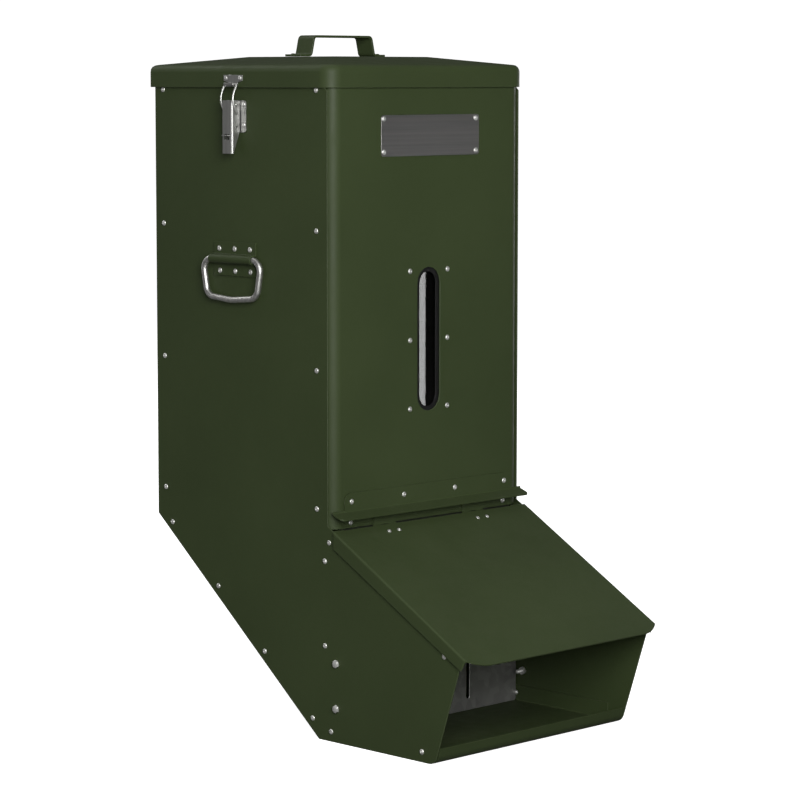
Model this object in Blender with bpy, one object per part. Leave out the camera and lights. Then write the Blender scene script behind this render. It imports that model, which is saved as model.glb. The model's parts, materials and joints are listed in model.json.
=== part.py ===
"""Gravity feeder of folded sheet steel: a tall hopper over a sloping floor, a feed gate,
an open tray under a hinged hood, and a lift-off lid held by a draw latch on each side.

Sizes are real sizes in metres. X runs across the front from left to right, Y runs from the
front panel towards the back, and Z is up from the underside of the tray. At the end one
empty carries everything to the frame of the finished part, whose origin is in the middle of
the flat back, where the feeder is fastened to a wall or a post.
"""

import math

import bmesh
import bpy
from mathutils import Matrix, Vector

MM = 0.001

# Sheet metal and clearances
SHEET = 1.5 * MM
GAP = 0.3 * MM
BEND = 3.0 * MM
ARC_STEPS = 4
BORE_SIDES = 12

# Hopper
WIDTH = 305 * MM
DEPTH = 291.5 * MM
HOPPER_TOP = 738.9 * MM
SIDE_FRONT = 4.9 * MM
EDGE_SET = 1.7 * MM
FRONT_BEND = 15 * MM
FRONT_BEND_STEPS = 6
FRONT_BOTTOM = 235 * MM
FRONT_FLANGE = 34 * MM
BACK_FLANGE = 28 * MM
FLOOR_FLANGE = 20 * MM
KINK_HEIGHT = 224.3 * MM
FOOT_DEPTH = 22.4 * MM
MOUNT_HEIGHT = (KINK_HEIGHT + HOPPER_TOP) / 2 + 3.4 * MM
MOUNT_HOLE_RADIUS = 4 * MM
MOUNT_HOLE_SPREAD = WIDTH / 2 - 52.5 * MM
MOUNT_HOLE_RISE = (HOPPER_TOP - KINK_HEIGHT) / 2 - 72.3 * MM

# Tray and cheeks
MOUTH_FOOT = 159.2 * MM
MOUTH_LEAN = math.radians(18.4)
MOUTH_BEND = 12 * MM
CHEEK_TIP_RADIUS = 4 * MM
LIP_HEIGHT = 17.7 * MM
TRAY_FLANGE_END = 140 * MM

# Hood
HOOD_ANGLE = math.radians(30)
HOOD_REAR = 6.5 * MM
HOOD_REAR_HEIGHT = FRONT_BOTTOM - 0.4 * MM
HOOD_LENGTH = 242.4 * MM
HOOD_SIDE_CLEARANCE = 1.0 * MM
HOOD_CORNER_WIDTH = 33 * MM
HOOD_CORNER_RADIUS = 47.3 * MM
HOOD_FLANGE_REAR = 16.6 * MM
HOOD_FLANGE_FRONT = 13.7 * MM
HOOD_BEND = 2.5 * MM
HOOD_CORNER_STEPS = 8

# Hood hinges and rails
HINGE_X = WIDTH / 4 - 5 * MM
HINGE_WIDTH = 34 * MM
HINGE_BARREL = 2.4 * MM
HINGE_SHEET = 1.2 * MM
HINGE_PIN = 1.0 * MM
HINGE_LEAF = 22 * MM
HINGE_CURL_STEPS = 14
RAIL_DEPTH = 22 * MM
RAIL_SHELF = 16 * MM
RAIL_REAR = 12 * MM
RAIL_LENGTH = 213 * MM

# Feed gate and its guides
GATE_TOP = FRONT_BOTTOM + 27 * MM
GATE_BOTTOM = 2.0 * MM
GATE_SHOULDER = FRONT_BOTTOM - 77 * MM
GATE_CORNER = 3 * MM
GATE_SLOT_X = WIDTH / 4 - 8.75 * MM
GATE_SLOT_WIDTH = 5.4 * MM
GATE_SLOT_BOTTOM = 15.4 * MM
GATE_SLOT_LENGTH = 110 * MM
GUIDE_BOTTOM = 96 * MM
GUIDE_TOP = FRONT_BOTTOM - 23 * MM
GUIDE_LEG = 14 * MM
GUIDE_FACE = 22 * MM

# Hex bolts through the cheeks, in front of the gate
BOLT_DEPTH = 8.5 * MM
BOLT_HEIGHTS = (38.0 * MM, 88.3 * MM)
BOLT_RADIUS = 2.5 * MM
BOLT_FLATS = 8 * MM
BOLT_HEAD = 3.5 * MM
BOLT_REACH = 12 * MM
NUT_HEIGHT = 4 * MM

# Rain lip
LIP_TOP = FRONT_BOTTOM + 39 * MM
LIP_FOLD = FRONT_BOTTOM + 17.2 * MM
LIP_FLANGE_HALF = WIDTH / 2 - 19.5 * MM
LIP_LEDGE_REACH = 16 * MM
LIP_LEDGE_FALL = math.radians(20)
LIP_FLANGE_CORNER = 9.5 * MM
LIP_LEDGE_CORNER = 5 * MM

# Window
WINDOW_HEIGHT = FRONT_BOTTOM + 0.3997 * (HOPPER_TOP - FRONT_BOTTOM)
WINDOW_SLOT = (36 * MM, 162 * MM)
RETAINER_SLOT = (26 * MM, 152 * MM)
RETAINER_PLATE = (72 * MM, 184 * MM)
PANE_PLATE = (52 * MM, 176 * MM)
PANE_THICKNESS = 2.0 * MM
PLATE_CORNER = 3 * MM

# Bare plate on the front
BADGE_SIZE = (155.4 * MM, 45.4 * MM)
BADGE_X = 2.0 * MM
BADGE_HEIGHT = HOPPER_TOP - 74.6 * MM
BADGE_THICKNESS = 0.8 * MM

# Lid
LID_CLEARANCE = 2.0 * MM
LID_FRONT = LID_CLEARANCE + SHEET
LID_BACK_OVERHANG = LID_FRONT + 0.5 * MM
LID_SKIRT_BOTTOM = HOPPER_TOP - 21.8 * MM
LID_RIM = HOPPER_TOP + 3.6 * MM
LID_BEND = 8 * MM
LID_FRONT_CORNER = FRONT_BEND + LID_FRONT
LID_BACK_CORNER = 3 * MM
LID_CROWN = 9 * MM
LID_FLAT = WIDTH / 4 - 3.75 * MM
LID_CORNER_STEPS = 5
LID_BEND_STEPS = 4
LID_CORNER_NOTCH = 3.4 * MM

# Lid handle
HANDLE_STRAP = (26 * MM, 2.5 * MM)
HANDLE_FOOT = 67 * MM
HANDLE_LEG = 51 * MM
HANDLE_SHOULDER = 46 * MM
HANDLE_RISE = 24 * MM
HANDLE_BEND = 6 * MM
HANDLE_FOOT_BEND = 2.5 * MM
HANDLE_DEPTH = DEPTH / 2 + 4.25 * MM

# Draw latch, measured out from the side panel and up from the tray
LATCH_DEPTH = DEPTH / 2 + 5.25 * MM
LATCH_SHEET = 1.2 * MM
LATCH_PLATE = (34.6 * MM, 35.3 * MM)
LATCH_PLATE_TOP = HOPPER_TOP - 36.1 * MM
LATCH_PIVOT = (7.5 * MM, LATCH_PLATE_TOP - 4.8 * MM)
LATCH_PIN = 1.25 * MM
LATCH_EAR = 2.8 * MM
LATCH_EAR_FOOT = (-6.7 * MM, 4.2 * MM)
LATCH_EAR_TIP = (-3.4 * MM, 3.1 * MM)
LEVER_WIDTH = 17 * MM
LEVER_FACE = 14.7 * MM
LEVER_FOOT = 2.8 * MM
LEVER_BOTTOM = LATCH_PLATE_TOP - 58.8 * MM
LEVER_BEND = 3 * MM
LEVER_TAPER_TOP = LATCH_PLATE_TOP - 35.3 * MM
LEVER_TAPER_REACH = 11.6 * MM
LEVER_SLOT = (9.4 * MM, 6.3 * MM)
LEVER_EYE_DROP = 25.2 * MM
STAPLE_HEIGHT = LATCH_PLATE_TOP - 39.4 * MM
STAPLE_WIDTH = 8 * MM
STAPLE_REACH = 18.5 * MM
STAPLE_EYE = 1.4 * MM
BAIL_DROP = 10 * MM
BAIL_LENGTH = 32.5 * MM
BAIL_WIRE = 1.1 * MM
BAIL_BOW = 6.5 * MM
BAIL_END = 6.0 * MM
BAIL_CORNER = 1.4 * MM
BAIL_STEPS = 8
KEEPER_PLATE = (30.6 * MM, 12.9 * MM)
KEEPER_TONGUE = 15 * MM
KEEPER_TONGUE_TOP = 4.5 * MM
KEEPER_HOOK = 2.4 * MM
KEEPER_LIP = 1.8 * MM
KEEPER_BEND = 2.7 * MM

# Side handle: a ring that hangs in a bent strap
RING_DEPTH = DEPTH / 2 + 7.25 * MM
RING_AXIS = (6.0 * MM, HOPPER_TOP - 212.9 * MM)
RING_WIRE = 3.5 * MM
RING_TOP_HALF = 49.2 * MM
RING_BOTTOM_HALF = 41.0 * MM
RING_DROP = 42.3 * MM
RING_SAG = 3.5 * MM
RING_CORNER = 12.5 * MM
BRACKET_HALF = 34.5 * MM
BRACKET_REACH = 19 * MM
BRACKET_BEND = 2.5 * MM
BRACKET_CROWN = 3.7 * MM
HANDLE_STEPS = 5

# Working values that follow from the sizes above
OUTER_X = WIDTH / 2
INNER_X = OUTER_X - SHEET
FLANGE_X = INNER_X - GAP
FACE_X = FLANGE_X - SHEET
SLOPE = math.atan2(KINK_HEIGHT, DEPTH - FOOT_DEPTH)
SLOPE_LENGTH = math.hypot(KINK_HEIGHT, DEPTH - FOOT_DEPTH)
HOOD_HALF = OUTER_X + HOOD_SIDE_CLEARANCE + SHEET
HOOD_UNDER = -(SHEET + GAP)
GATE_FRONT = SHEET + GAP
GATE_BACK = GATE_FRONT + SHEET
HINGE_Y = -(GAP + HINGE_BARREL)
HINGE_DROP = HOOD_UNDER - HINGE_BARREL
LID_HALF = OUTER_X + LID_CLEARANCE + SHEET
LID_TOP = LID_RIM + LID_CROWN
LID_MIDDLE = (DEPTH + LID_BACK_OVERHANG - LID_FRONT) / 2


def left_of(direction):
    """The direction turned a quarter turn to the left, in a 2-D outline."""
    return Vector((-direction.y, direction.x))


def fillet(before, corner, after, radius, steps):
    """The rounded corner of a path, as pairs of a point and the direction of travel there."""
    come = (corner - before).normalized()
    leave = (after - corner).normalized()
    turn = math.atan2(come.x * leave.y - come.y * leave.x, come.dot(leave))
    side = 1 if turn > 0 else -1
    start = corner - come * radius * math.tan(abs(turn) / 2)
    centre = start + left_of(come) * radius * side
    found = []
    for step in range(steps + 1):
        heading = Matrix.Rotation(turn * step / steps, 2) @ come
        found.append((centre - left_of(heading) * radius * side, heading))
    return found


def rounded(points, radii, steps=ARC_STEPS):
    """A closed outline with each corner rounded to its own radius, 0 for a sharp one."""
    corners = [Vector(point) for point in points]
    outline = []
    for index, corner in enumerate(corners):
        before = corners[index - 1]
        after = corners[(index + 1) % len(corners)]
        if radii[index] > 0:
            outline += [point for point, _ in fillet(before, corner, after, radii[index], steps)]
        else:
            outline.append(corner)
    return outline


def folded(points, radii, thickness, steps=ARC_STEPS):
    """The section of a folded sheet: a path along one face, and the same path moved to the
    left by the thickness, or to the right where the thickness is negative."""
    corners = [Vector(point) for point in points]
    path = [(corners[0], (corners[1] - corners[0]).normalized())]
    for index in range(1, len(corners) - 1):
        path += fillet(corners[index - 1], corners[index], corners[index + 1], radii[index - 1], steps)
    path.append((corners[-1], (corners[-1] - corners[-2]).normalized()))
    face = [point for point, _ in path]
    other = [point + left_of(heading) * thickness for point, heading in path]
    return face + other[::-1]


def circle(centre, radius, sides=BORE_SIDES, start=0.0):
    """A closed outline of equal sides round a centre."""
    turns = [start + 2 * math.pi * index / sides for index in range(sides)]
    return [Vector((centre[0] + radius * math.cos(a), centre[1] + radius * math.sin(a))) for a in turns]


def slot_outline(centre, size, steps=8):
    """An upright slot with round ends."""
    half = size[0] / 2
    reach = size[1] / 2 - half
    top = [math.pi * step / steps for step in range(steps + 1)]
    outline = [(centre[0] + half * math.cos(a), centre[1] + reach + half * math.sin(a)) for a in top]
    outline += [(centre[0] - half * math.cos(a), centre[1] - reach - half * math.sin(a)) for a in top]
    return outline


def box_outline(centre, size, corner=0.0):
    """A rectangle, with rounded corners where a corner radius is given."""
    half_a = size[0] / 2
    half_b = size[1] / 2
    signs = ((-1, -1), (1, -1), (1, 1), (-1, 1))
    points = [(centre[0] + a * half_a, centre[1] + b * half_b) for a, b in signs]
    return rounded(points, [corner] * 4)


def along_x(a, b, t):
    return Vector((t, a, b))


def along_y(a, b, t):
    return Vector((a, t, b))


def along_z(a, b, t):
    return Vector((a, b, t))


def on_slope(a, b, t):
    """Across the sloping floor, out of its underside, and up along it from its foot."""
    y = FOOT_DEPTH + t * math.cos(SLOPE) - b * math.sin(SLOPE)
    z = t * math.sin(SLOPE) + b * math.cos(SLOPE)
    return Vector((a, y, z))


def on_hood(x, down, lift):
    """A point given across the hood, down its slope from the rear edge, and above its top."""
    y = -HOOD_REAR - down * math.cos(HOOD_ANGLE) - lift * math.sin(HOOD_ANGLE)
    z = HOOD_REAR_HEIGHT - down * math.sin(HOOD_ANGLE) + lift * math.cos(HOOD_ANGLE)
    return Vector((x, y, z))


def down_hood(x, lift, down):
    return on_hood(x, down, lift)


def hood_edge_on(down, lift, x):
    return on_hood(x, down, lift)


def solid(outline, place, low, high):
    """A closed mesh between two ends of an outline. Each end is a distance, or a function of
    the outline's second coordinate where the end is cut at a mitre."""
    mesh = bmesh.new()
    ends = []
    for end in (low, high):
        reach = [end(point[1]) if callable(end) else end for point in outline]
        ends.append([mesh.verts.new(place(p[0], p[1], t)) for p, t in zip(outline, reach)])
    for index in range(len(outline)):
        after = (index + 1) % len(outline)
        mesh.faces.new((ends[0][index], ends[0][after], ends[1][after], ends[1][index]))
    mesh.faces.new(ends[0][::-1])
    mesh.faces.new(ends[1])
    bmesh.ops.recalc_face_normals(mesh, faces=mesh.faces)
    return mesh


def joined(parts):
    """Several closed meshes in one, left as separate bodies: a cutter for many holes."""
    whole = bmesh.new()
    for part in parts:
        piece = bpy.data.meshes.new("piece")
        part.to_mesh(piece)
        part.free()
        whole.from_mesh(piece)
        bpy.data.meshes.remove(piece)
    return whole


def material(name, colour, roughness, metallic):
    """A finish, as a Principled shader."""
    finish = bpy.data.materials.new(name)
    finish.use_nodes = True
    shader = finish.node_tree.nodes["Principled BSDF"]
    shader.inputs["Base Color"].default_value = (*colour, 1.0)
    shader.inputs["Roughness"].default_value = roughness
    shader.inputs["Metallic"].default_value = metallic
    finish.diffuse_color = (*colour, 1.0)
    return finish


def add(name, mesh, finish, pivot=None):
    """Makes the object of a piece. A piece that turns or slides has its origin at its pivot."""
    data = bpy.data.meshes.new(name)
    mesh.to_mesh(data)
    mesh.free()
    if pivot is not None:
        data.transform(Matrix.Translation(-Vector(pivot)))
    data.shade_smooth()
    data.set_sharp_from_angle(angle=math.radians(25))
    data.materials.append(finish.copy())
    data.materials[0].name = name
    piece = bpy.data.objects.new(name, data)
    bpy.context.scene.collection.objects.link(piece)
    piece.parent = FRAME
    if pivot is not None:
        piece.location = pivot
    return piece


def change(piece, mesh, operation, name):
    """Cuts a helper out of a piece, or joins it on."""
    data = bpy.data.meshes.new(name)
    mesh.to_mesh(data)
    mesh.free()
    helper = bpy.data.objects.new(name, data)
    bpy.context.scene.collection.objects.link(helper)
    helper.parent = FRAME
    helper.hide_render = True
    helper.display_type = "WIRE"
    modifier = piece.modifiers.new(name, "BOOLEAN")
    modifier.object = helper
    modifier.operation = operation
    modifier.solver = "EXACT"


def tube(name, points, radius, finish, pivot, closed):
    """A bent wire or rod along a list of points, with filled ends where it is open."""
    curve = bpy.data.curves.new(name, "CURVE")
    curve.dimensions = "3D"
    curve.bevel_depth = radius
    curve.bevel_resolution = 3
    curve.use_fill_caps = not closed
    spline = curve.splines.new("POLY")
    spline.points.add(len(points) - 1)
    for index, point in enumerate(points):
        spline.points[index].co = (*(Vector(point) - Vector(pivot)), 1.0)
    spline.use_cyclic_u = closed
    spline.use_smooth = True
    curve.materials.append(finish.copy())
    curve.materials[0].name = name
    piece = bpy.data.objects.new(name, curve)
    bpy.context.scene.collection.objects.link(piece)
    piece.parent = FRAME
    piece.location = pivot
    return piece


def side_of(name):
    """Minus one for the left side, one for the right."""
    return -1 if name == "left" else 1


def beside(side, out, y, z):
    """A point given out from the outer face of a side panel."""
    return Vector((side * (OUTER_X + out), y, z))


def mouth_line(height):
    """The front edge of the cheeks, as Y at a height."""
    return -MOUTH_FOOT - height * math.tan(MOUTH_LEAN)


def cheek_line(y, lift):
    """A line parallel to the hood's top, a distance above it, as the height at a depth."""
    fall = (-HOOD_REAR - y) * math.tan(HOOD_ANGLE)
    return HOOD_REAR_HEIGHT - fall + lift / math.cos(HOOD_ANGLE)


def side_outline():
    """The side panel: hopper wall, sloping rear edge and the cheek of the tray in one sheet."""
    back = DEPTH - EDGE_SET
    lift = EDGE_SET / math.cos(SLOPE)
    foot = FOOT_DEPTH - EDGE_SET / math.sin(SLOPE)
    kink = lift + (back - FOOT_DEPTH) * math.tan(SLOPE)
    level = cheek_line(0.0, HOOD_UNDER)
    fall = math.tan(HOOD_ANGLE)
    tip = (level - MOUTH_FOOT * fall) / (1 + fall * math.tan(MOUTH_LEAN))
    notch = SIDE_FRONT + LID_CORNER_NOTCH
    points = [
        (LID_FRONT_CORNER, HOPPER_TOP),
        (notch, LID_SKIRT_BOTTOM - GAP),
        (SIDE_FRONT, LID_SKIRT_BOTTOM - GAP - LID_CORNER_NOTCH),
        (SIDE_FRONT, cheek_line(SIDE_FRONT, HOOD_UNDER)),
        (mouth_line(tip), tip),
        (mouth_line(0.0), 0.0),
        (foot, 0.0),
        (back, kink),
        (back, HOPPER_TOP),
    ]
    return rounded(points, [0, 0, 0, 0, CHEEK_TIP_RADIUS, MOUTH_BEND, BEND, BEND, 0])


def bolt_holes(side):
    """Clearance holes in a cheek for the hex bolts."""
    holes = []
    for height in BOLT_HEIGHTS:
        outline = circle((-BOLT_DEPTH, height), BOLT_RADIUS + GAP)
        ends = (side * (INNER_X - BEND), side * (OUTER_X + BEND))
        holes.append(solid(outline, along_x, *ends))
    return joined(holes)


def side_panel(name):
    side = side_of(name)
    mesh = solid(side_outline(), along_x, side * INNER_X, side * OUTER_X)
    panel = add(name + "_side_panel", mesh, PAINT)
    change(panel, bolt_holes(side), "DIFFERENCE", name + "_bolt_holes")


def front_panel():
    """Folded sheet with wide round corners and a flange behind each side panel."""
    points = [(-FLANGE_X, FRONT_FLANGE), (-FLANGE_X, 0), (FLANGE_X, 0), (FLANGE_X, FRONT_FLANGE)]
    section = folded(points, [FRONT_BEND] * 2, SHEET, FRONT_BEND_STEPS)
    panel = add("front_panel", solid(section, along_z, FRONT_BOTTOM, HOPPER_TOP), PAINT)
    opening = slot_outline((0, WINDOW_HEIGHT), WINDOW_SLOT)
    change(panel, solid(opening, along_y, -BEND, BEND), "DIFFERENCE", "window_opening")


def back_panel():
    """Flat back with a flange inside each side panel, mitred where it meets the floor."""
    depth = DEPTH - BACK_FLANGE
    points = [(FLANGE_X, depth), (FLANGE_X, DEPTH), (-FLANGE_X, DEPTH), (-FLANGE_X, depth)]
    section = folded(points, [BEND] * 2, SHEET)
    rise = math.tan((math.pi / 2 - SLOPE) / 2)
    bottom = lambda y: KINK_HEIGHT + (DEPTH - y) * rise + GAP / 2
    panel = add("back_panel", solid(section, along_z, bottom, HOPPER_TOP), PAINT)
    holes = []
    for x in (-MOUNT_HOLE_SPREAD, MOUNT_HOLE_SPREAD):
        for z in (MOUNT_HEIGHT - MOUNT_HOLE_RISE, MOUNT_HEIGHT + MOUNT_HOLE_RISE):
            hole = circle((x, z), MOUNT_HOLE_RADIUS)
            holes.append(solid(hole, along_y, DEPTH - 2 * SHEET, DEPTH + SHEET))
    change(panel, joined(holes), "DIFFERENCE", "wall_holes")


def slope_panel():
    """Sloping floor of the hopper: a shallow channel, mitred at both ends."""
    points = [(-FLANGE_X, FLOOR_FLANGE), (-FLANGE_X, 0), (FLANGE_X, 0), (FLANGE_X, FLOOR_FLANGE)]
    section = folded(points, [BEND] * 2, SHEET)
    foot = lambda h: h * math.tan(SLOPE / 2) + GAP / 2
    head = lambda h: SLOPE_LENGTH - h * math.tan((math.pi / 2 - SLOPE) / 2) - GAP / 2
    add("slope_panel", solid(section, on_slope, foot, head), PAINT)


def feed_tray():
    """Flat floor of the tray, a flange up each side and a low front lip that leans out."""
    points = [(-FLANGE_X, FLOOR_FLANGE), (-FLANGE_X, 0), (FLANGE_X, 0), (FLANGE_X, FLOOR_FLANGE)]
    section = folded(points, [BEND] * 2, SHEET)
    rear = lambda h: FOOT_DEPTH - h * math.tan(SLOPE / 2) - GAP / 2
    tray = add("feed_tray", solid(section, along_y, -TRAY_FLANGE_END, rear), PAINT)
    foot = mouth_line(0.0)
    path = [(-TRAY_FLANGE_END + MOUTH_BEND, 0), (foot, 0), (mouth_line(LIP_HEIGHT), LIP_HEIGHT)]
    lip = folded(path, [MOUTH_BEND], -SHEET)
    change(tray, solid(lip, along_x, -FACE_X, FACE_X), "UNION", "tray_lip")


def rain_lip():
    """Angle on the front panel that sheds rain over the hood's hinges."""
    reach = Vector((-LIP_LEDGE_REACH, -LIP_LEDGE_REACH * math.tan(LIP_LEDGE_FALL)))
    corner = Vector((-GAP, LIP_FOLD))
    path = [(-GAP, LIP_TOP), corner, corner + reach]
    section = folded(path, [BEND], -SHEET)
    lip = add("rain_lip", solid(section, along_x, -INNER_X, INNER_X), PAINT)
    cutters = []
    top = LIP_TOP + BEND
    fold = LIP_FOLD + BEND
    for side in (-1, 1):
        inner = side * LIP_FLANGE_HALF
        outer = side * (OUTER_X + BEND)
        below = Vector((inner, fold))
        corner = Vector((inner, LIP_TOP))
        arc = fillet(below, corner, Vector((0, LIP_TOP)), LIP_FLANGE_CORNER, ARC_STEPS)
        outline = [below] + [point for point, _ in arc]
        outline += [(arc[-1][0].x, top), (outer, top), (outer, fold)]
        cutters.append(solid(outline, along_y, -2 * BEND, BEND))
    for side in (-1, 1):
        tip = Vector((side * INNER_X, -LIP_LEDGE_REACH))
        behind = tip + Vector((0, LIP_LEDGE_REACH))
        arc = fillet(behind, tip, Vector((0, tip.y)), LIP_LEDGE_CORNER, ARC_STEPS)
        far = tip + Vector((side * BEND, -BEND))
        outline = [point for point, _ in arc] + [(arc[-1][0].x, far.y), far, (far.x, arc[0][0].y)]
        cutters.append(solid(outline, along_z, LIP_FOLD - 4 * BEND, LIP_FOLD + BEND))
    change(lip, joined(cutters), "DIFFERENCE", "rain_lip_corners")


def window():
    """Black slotted plate behind the slot of the front panel, with a clear pane bonded to it."""
    centre = (0, WINDOW_HEIGHT)
    plate_back = GATE_FRONT + SHEET
    outline = box_outline(centre, RETAINER_PLATE, PLATE_CORNER)
    plate = add("window_retainer", solid(outline, along_y, GATE_FRONT, plate_back), BLACK)
    opening = slot_outline(centre, RETAINER_SLOT)
    change(plate, solid(opening, along_y, 0, plate_back + BEND), "DIFFERENCE", "retainer_opening")
    face = plate_back + GAP
    pane = box_outline(centre, PANE_PLATE, PLATE_CORNER)
    add("window_pane", solid(pane, along_y, face, face + PANE_THICKNESS), CLEAR)


def badge_plate():
    outline = box_outline((BADGE_X, BADGE_HEIGHT), BADGE_SIZE, PLATE_CORNER)
    add("front_plate", solid(outline, along_y, -GAP - BADGE_THICKNESS, -GAP), ZINC)


def gate_guide(name):
    """Angle behind the feed gate, on the inside of a cheek."""
    side = side_of(name)
    front = GATE_BACK + GAP
    inner = side * (FLANGE_X - GUIDE_FACE)
    points = [(side * FLANGE_X, front + GUIDE_LEG), (side * FLANGE_X, front), (inner, front)]
    section = folded(points, [BEND], -side * SHEET)
    add(name + "_gate_guide", solid(section, along_z, GUIDE_BOTTOM, GUIDE_TOP), ZINC)


def hood_rail(name):
    """Angle on the inside of a cheek, parallel to the hood, that the closed hood rests on."""
    side = side_of(name)
    wall = side * FLANGE_X
    inner = side * (FLANGE_X - RAIL_SHELF)
    points = [(wall, HOOD_UNDER - RAIL_DEPTH), (wall, HOOD_UNDER), (inner, HOOD_UNDER)]
    section = folded(points, [BEND], side * SHEET)
    rail = add(name + "_hood_rail", solid(section, down_hood, -RAIL_REAR, RAIL_LENGTH), PAINT)
    shelf = side * (FLANGE_X - RAIL_SHELF - BEND)
    top = FRONT_BOTTOM - 2 * GAP
    front = -HOOD_REAR / 2
    panel = [(front, top), (FRONT_FLANGE, top), (FRONT_FLANGE, LIP_TOP), (front, LIP_TOP)]
    relief = solid(panel, along_x, shelf, side * OUTER_X)
    change(rail, relief, "DIFFERENCE", name + "_rail_top_relief")
    low = HOOD_REAR_HEIGHT - 2 * RAIL_DEPTH
    front = GATE_FRONT - 2 * GAP
    gate = [(front, low), (FRONT_FLANGE, low), (FRONT_FLANGE, top + GAP), (front, top + GAP)]
    relief = solid(gate, along_x, shelf, side * (FACE_X - GAP / 2))
    change(rail, relief, "DIFFERENCE", name + "_rail_gate_relief")


def cheek_bolts(name):
    """Hex bolts through a cheek, each with a nut on the inside."""
    side = side_of(name)
    corner = BOLT_FLATS / 2 / math.cos(math.pi / 6)
    head_face = side * (OUTER_X + GAP)
    head_top = side * (OUTER_X + GAP + BOLT_HEAD)
    nut_face = side * FLANGE_X
    nut_end = side * (FLANGE_X - NUT_HEIGHT)
    shank_end = side * (INNER_X - BOLT_REACH)
    for height, level in zip(BOLT_HEIGHTS, ("lower", "upper")):
        centre = (-BOLT_DEPTH, height)
        prefix = f"{name}_{level}"
        head = solid(circle(centre, corner, 6), along_x, head_face, head_top)
        bolt = add(prefix + "_bolt", head, ZINC)
        shank = solid(circle(centre, BOLT_RADIUS), along_x, shank_end, (head_face + head_top) / 2)
        change(bolt, shank, "UNION", prefix + "_shank")
        hexagon = circle(centre, corner, 6, math.pi / 6)
        nut = add(prefix + "_nut", solid(hexagon, along_x, nut_face, nut_end), ZINC)
        bore = solid(circle(centre, BOLT_RADIUS + GAP), along_x, shank_end, side * OUTER_X)
        change(nut, bore, "DIFFERENCE", prefix + "_nut_bore")


def feed_gate():
    """Sliding plate behind the front panel. Its shoulders stop it under the panel."""
    half = FACE_X - GAP
    neck = FLANGE_X - FRONT_BEND
    points = [
        (-half, GATE_BOTTOM),
        (half, GATE_BOTTOM),
        (half, GATE_SHOULDER),
        (neck, GATE_SHOULDER),
        (neck, GATE_TOP),
        (-neck, GATE_TOP),
        (-neck, GATE_SHOULDER),
        (-half, GATE_SHOULDER),
    ]
    radii = [GATE_CORNER, GATE_CORNER, GATE_CORNER, 0, GATE_CORNER, GATE_CORNER, 0, GATE_CORNER]
    pivot = (0, GATE_FRONT, GATE_BOTTOM)
    gate = add("feed_gate", solid(rounded(points, radii), along_y, GATE_FRONT, GATE_BACK), ZINC, pivot)
    cutters = []
    for side in (-1, 1):
        centre = (side * GATE_SLOT_X, GATE_SLOT_BOTTOM + GATE_SLOT_LENGTH / 2)
        outline = slot_outline(centre, (GATE_SLOT_WIDTH, GATE_SLOT_LENGTH), 4)
        cutters.append(solid(outline, along_y, -BEND, 2 * BEND))
    change(gate, joined(cutters), "DIFFERENCE", "gate_slots")


def hinge_pivot():
    """The line that the hood turns about, as Y and Z."""
    lift = HINGE_DROP + (HINGE_Y + HOOD_REAR) * math.sin(HOOD_ANGLE)
    return HINGE_Y, HOOD_REAR_HEIGHT + lift / math.cos(HOOD_ANGLE)


def leaf_outline(length):
    """A hinge leaf seen from its end: a flat strap that curls round the pin at the origin."""
    inner = HINGE_BARREL - HINGE_SHEET
    end = math.asin(inner / HINGE_BARREL)
    start = math.pi / 2
    sweep = 2 * math.pi + end - start
    turns = [start + sweep * step / HINGE_CURL_STEPS for step in range(HINGE_CURL_STEPS + 1)]
    curl = [(HINGE_BARREL * math.cos(a), HINGE_BARREL * math.sin(a)) for a in turns]
    return [(length, HINGE_BARREL)] + curl + [(length, inner)]


def hood_hinge(name):
    """A pinned hinge: one leaf on the front panel, one under the hood's rear edge."""
    side = side_of(name)
    y, z = hinge_pivot()
    pivot = Vector((side * HINGE_X, y, z))
    fixed_place = lambda a, b, t: Vector((t, y + b, z + a))
    cos = math.cos(HOOD_ANGLE)
    sin = math.sin(HOOD_ANGLE)
    moving_place = lambda a, b, t: Vector((t, y - a * cos - b * sin, z - a * sin + b * cos))
    low = side * HINGE_X - HINGE_WIDTH / 2
    high = side * HINGE_X + HINGE_WIDTH / 2
    knuckle = HINGE_WIDTH / 6
    up = leaf_outline(LIP_FOLD - BEND - z)
    fixed = add(name + "_hinge_fixed_leaf", solid(up, fixed_place, low, high), PAINT)
    forward = leaf_outline(HINGE_LEAF)
    moving = add(name + "_hinge_hood_leaf", solid(forward, moving_place, low, high), PAINT, pivot)
    relief = HINGE_BARREL + GAP
    far = 2 * relief
    notch = [(-far, -far), (relief, -far), (relief, far), (-far, far)]
    middle = (side * HINGE_X - knuckle - GAP / 2, side * HINGE_X + knuckle + GAP / 2)
    bore = circle((0, 0), HINGE_PIN + GAP)
    fixed_cuts = [solid(notch, fixed_place, *middle), solid(bore, fixed_place, low - BEND, high + BEND)]
    outer = [(low - BEND, middle[0] + GAP), (middle[1] - GAP, high + BEND)]
    moving_cuts = [solid(notch, moving_place, *ends) for ends in outer]
    moving_cuts.append(solid(bore, moving_place, low - 2 * BEND, high + 2 * BEND))
    for number, cut in enumerate(fixed_cuts):
        change(fixed, cut, "DIFFERENCE", f"{name}_fixed_leaf_cut_{number}")
    for number, cut in enumerate(moving_cuts):
        change(moving, cut, "DIFFERENCE", f"{name}_hood_leaf_cut_{number}")
    pin = solid(circle((y, z), HINGE_PIN), along_x, low - GAP, high + GAP)
    add(name + "_hinge_pin", pin, ZINC)
    return fixed, moving


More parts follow.
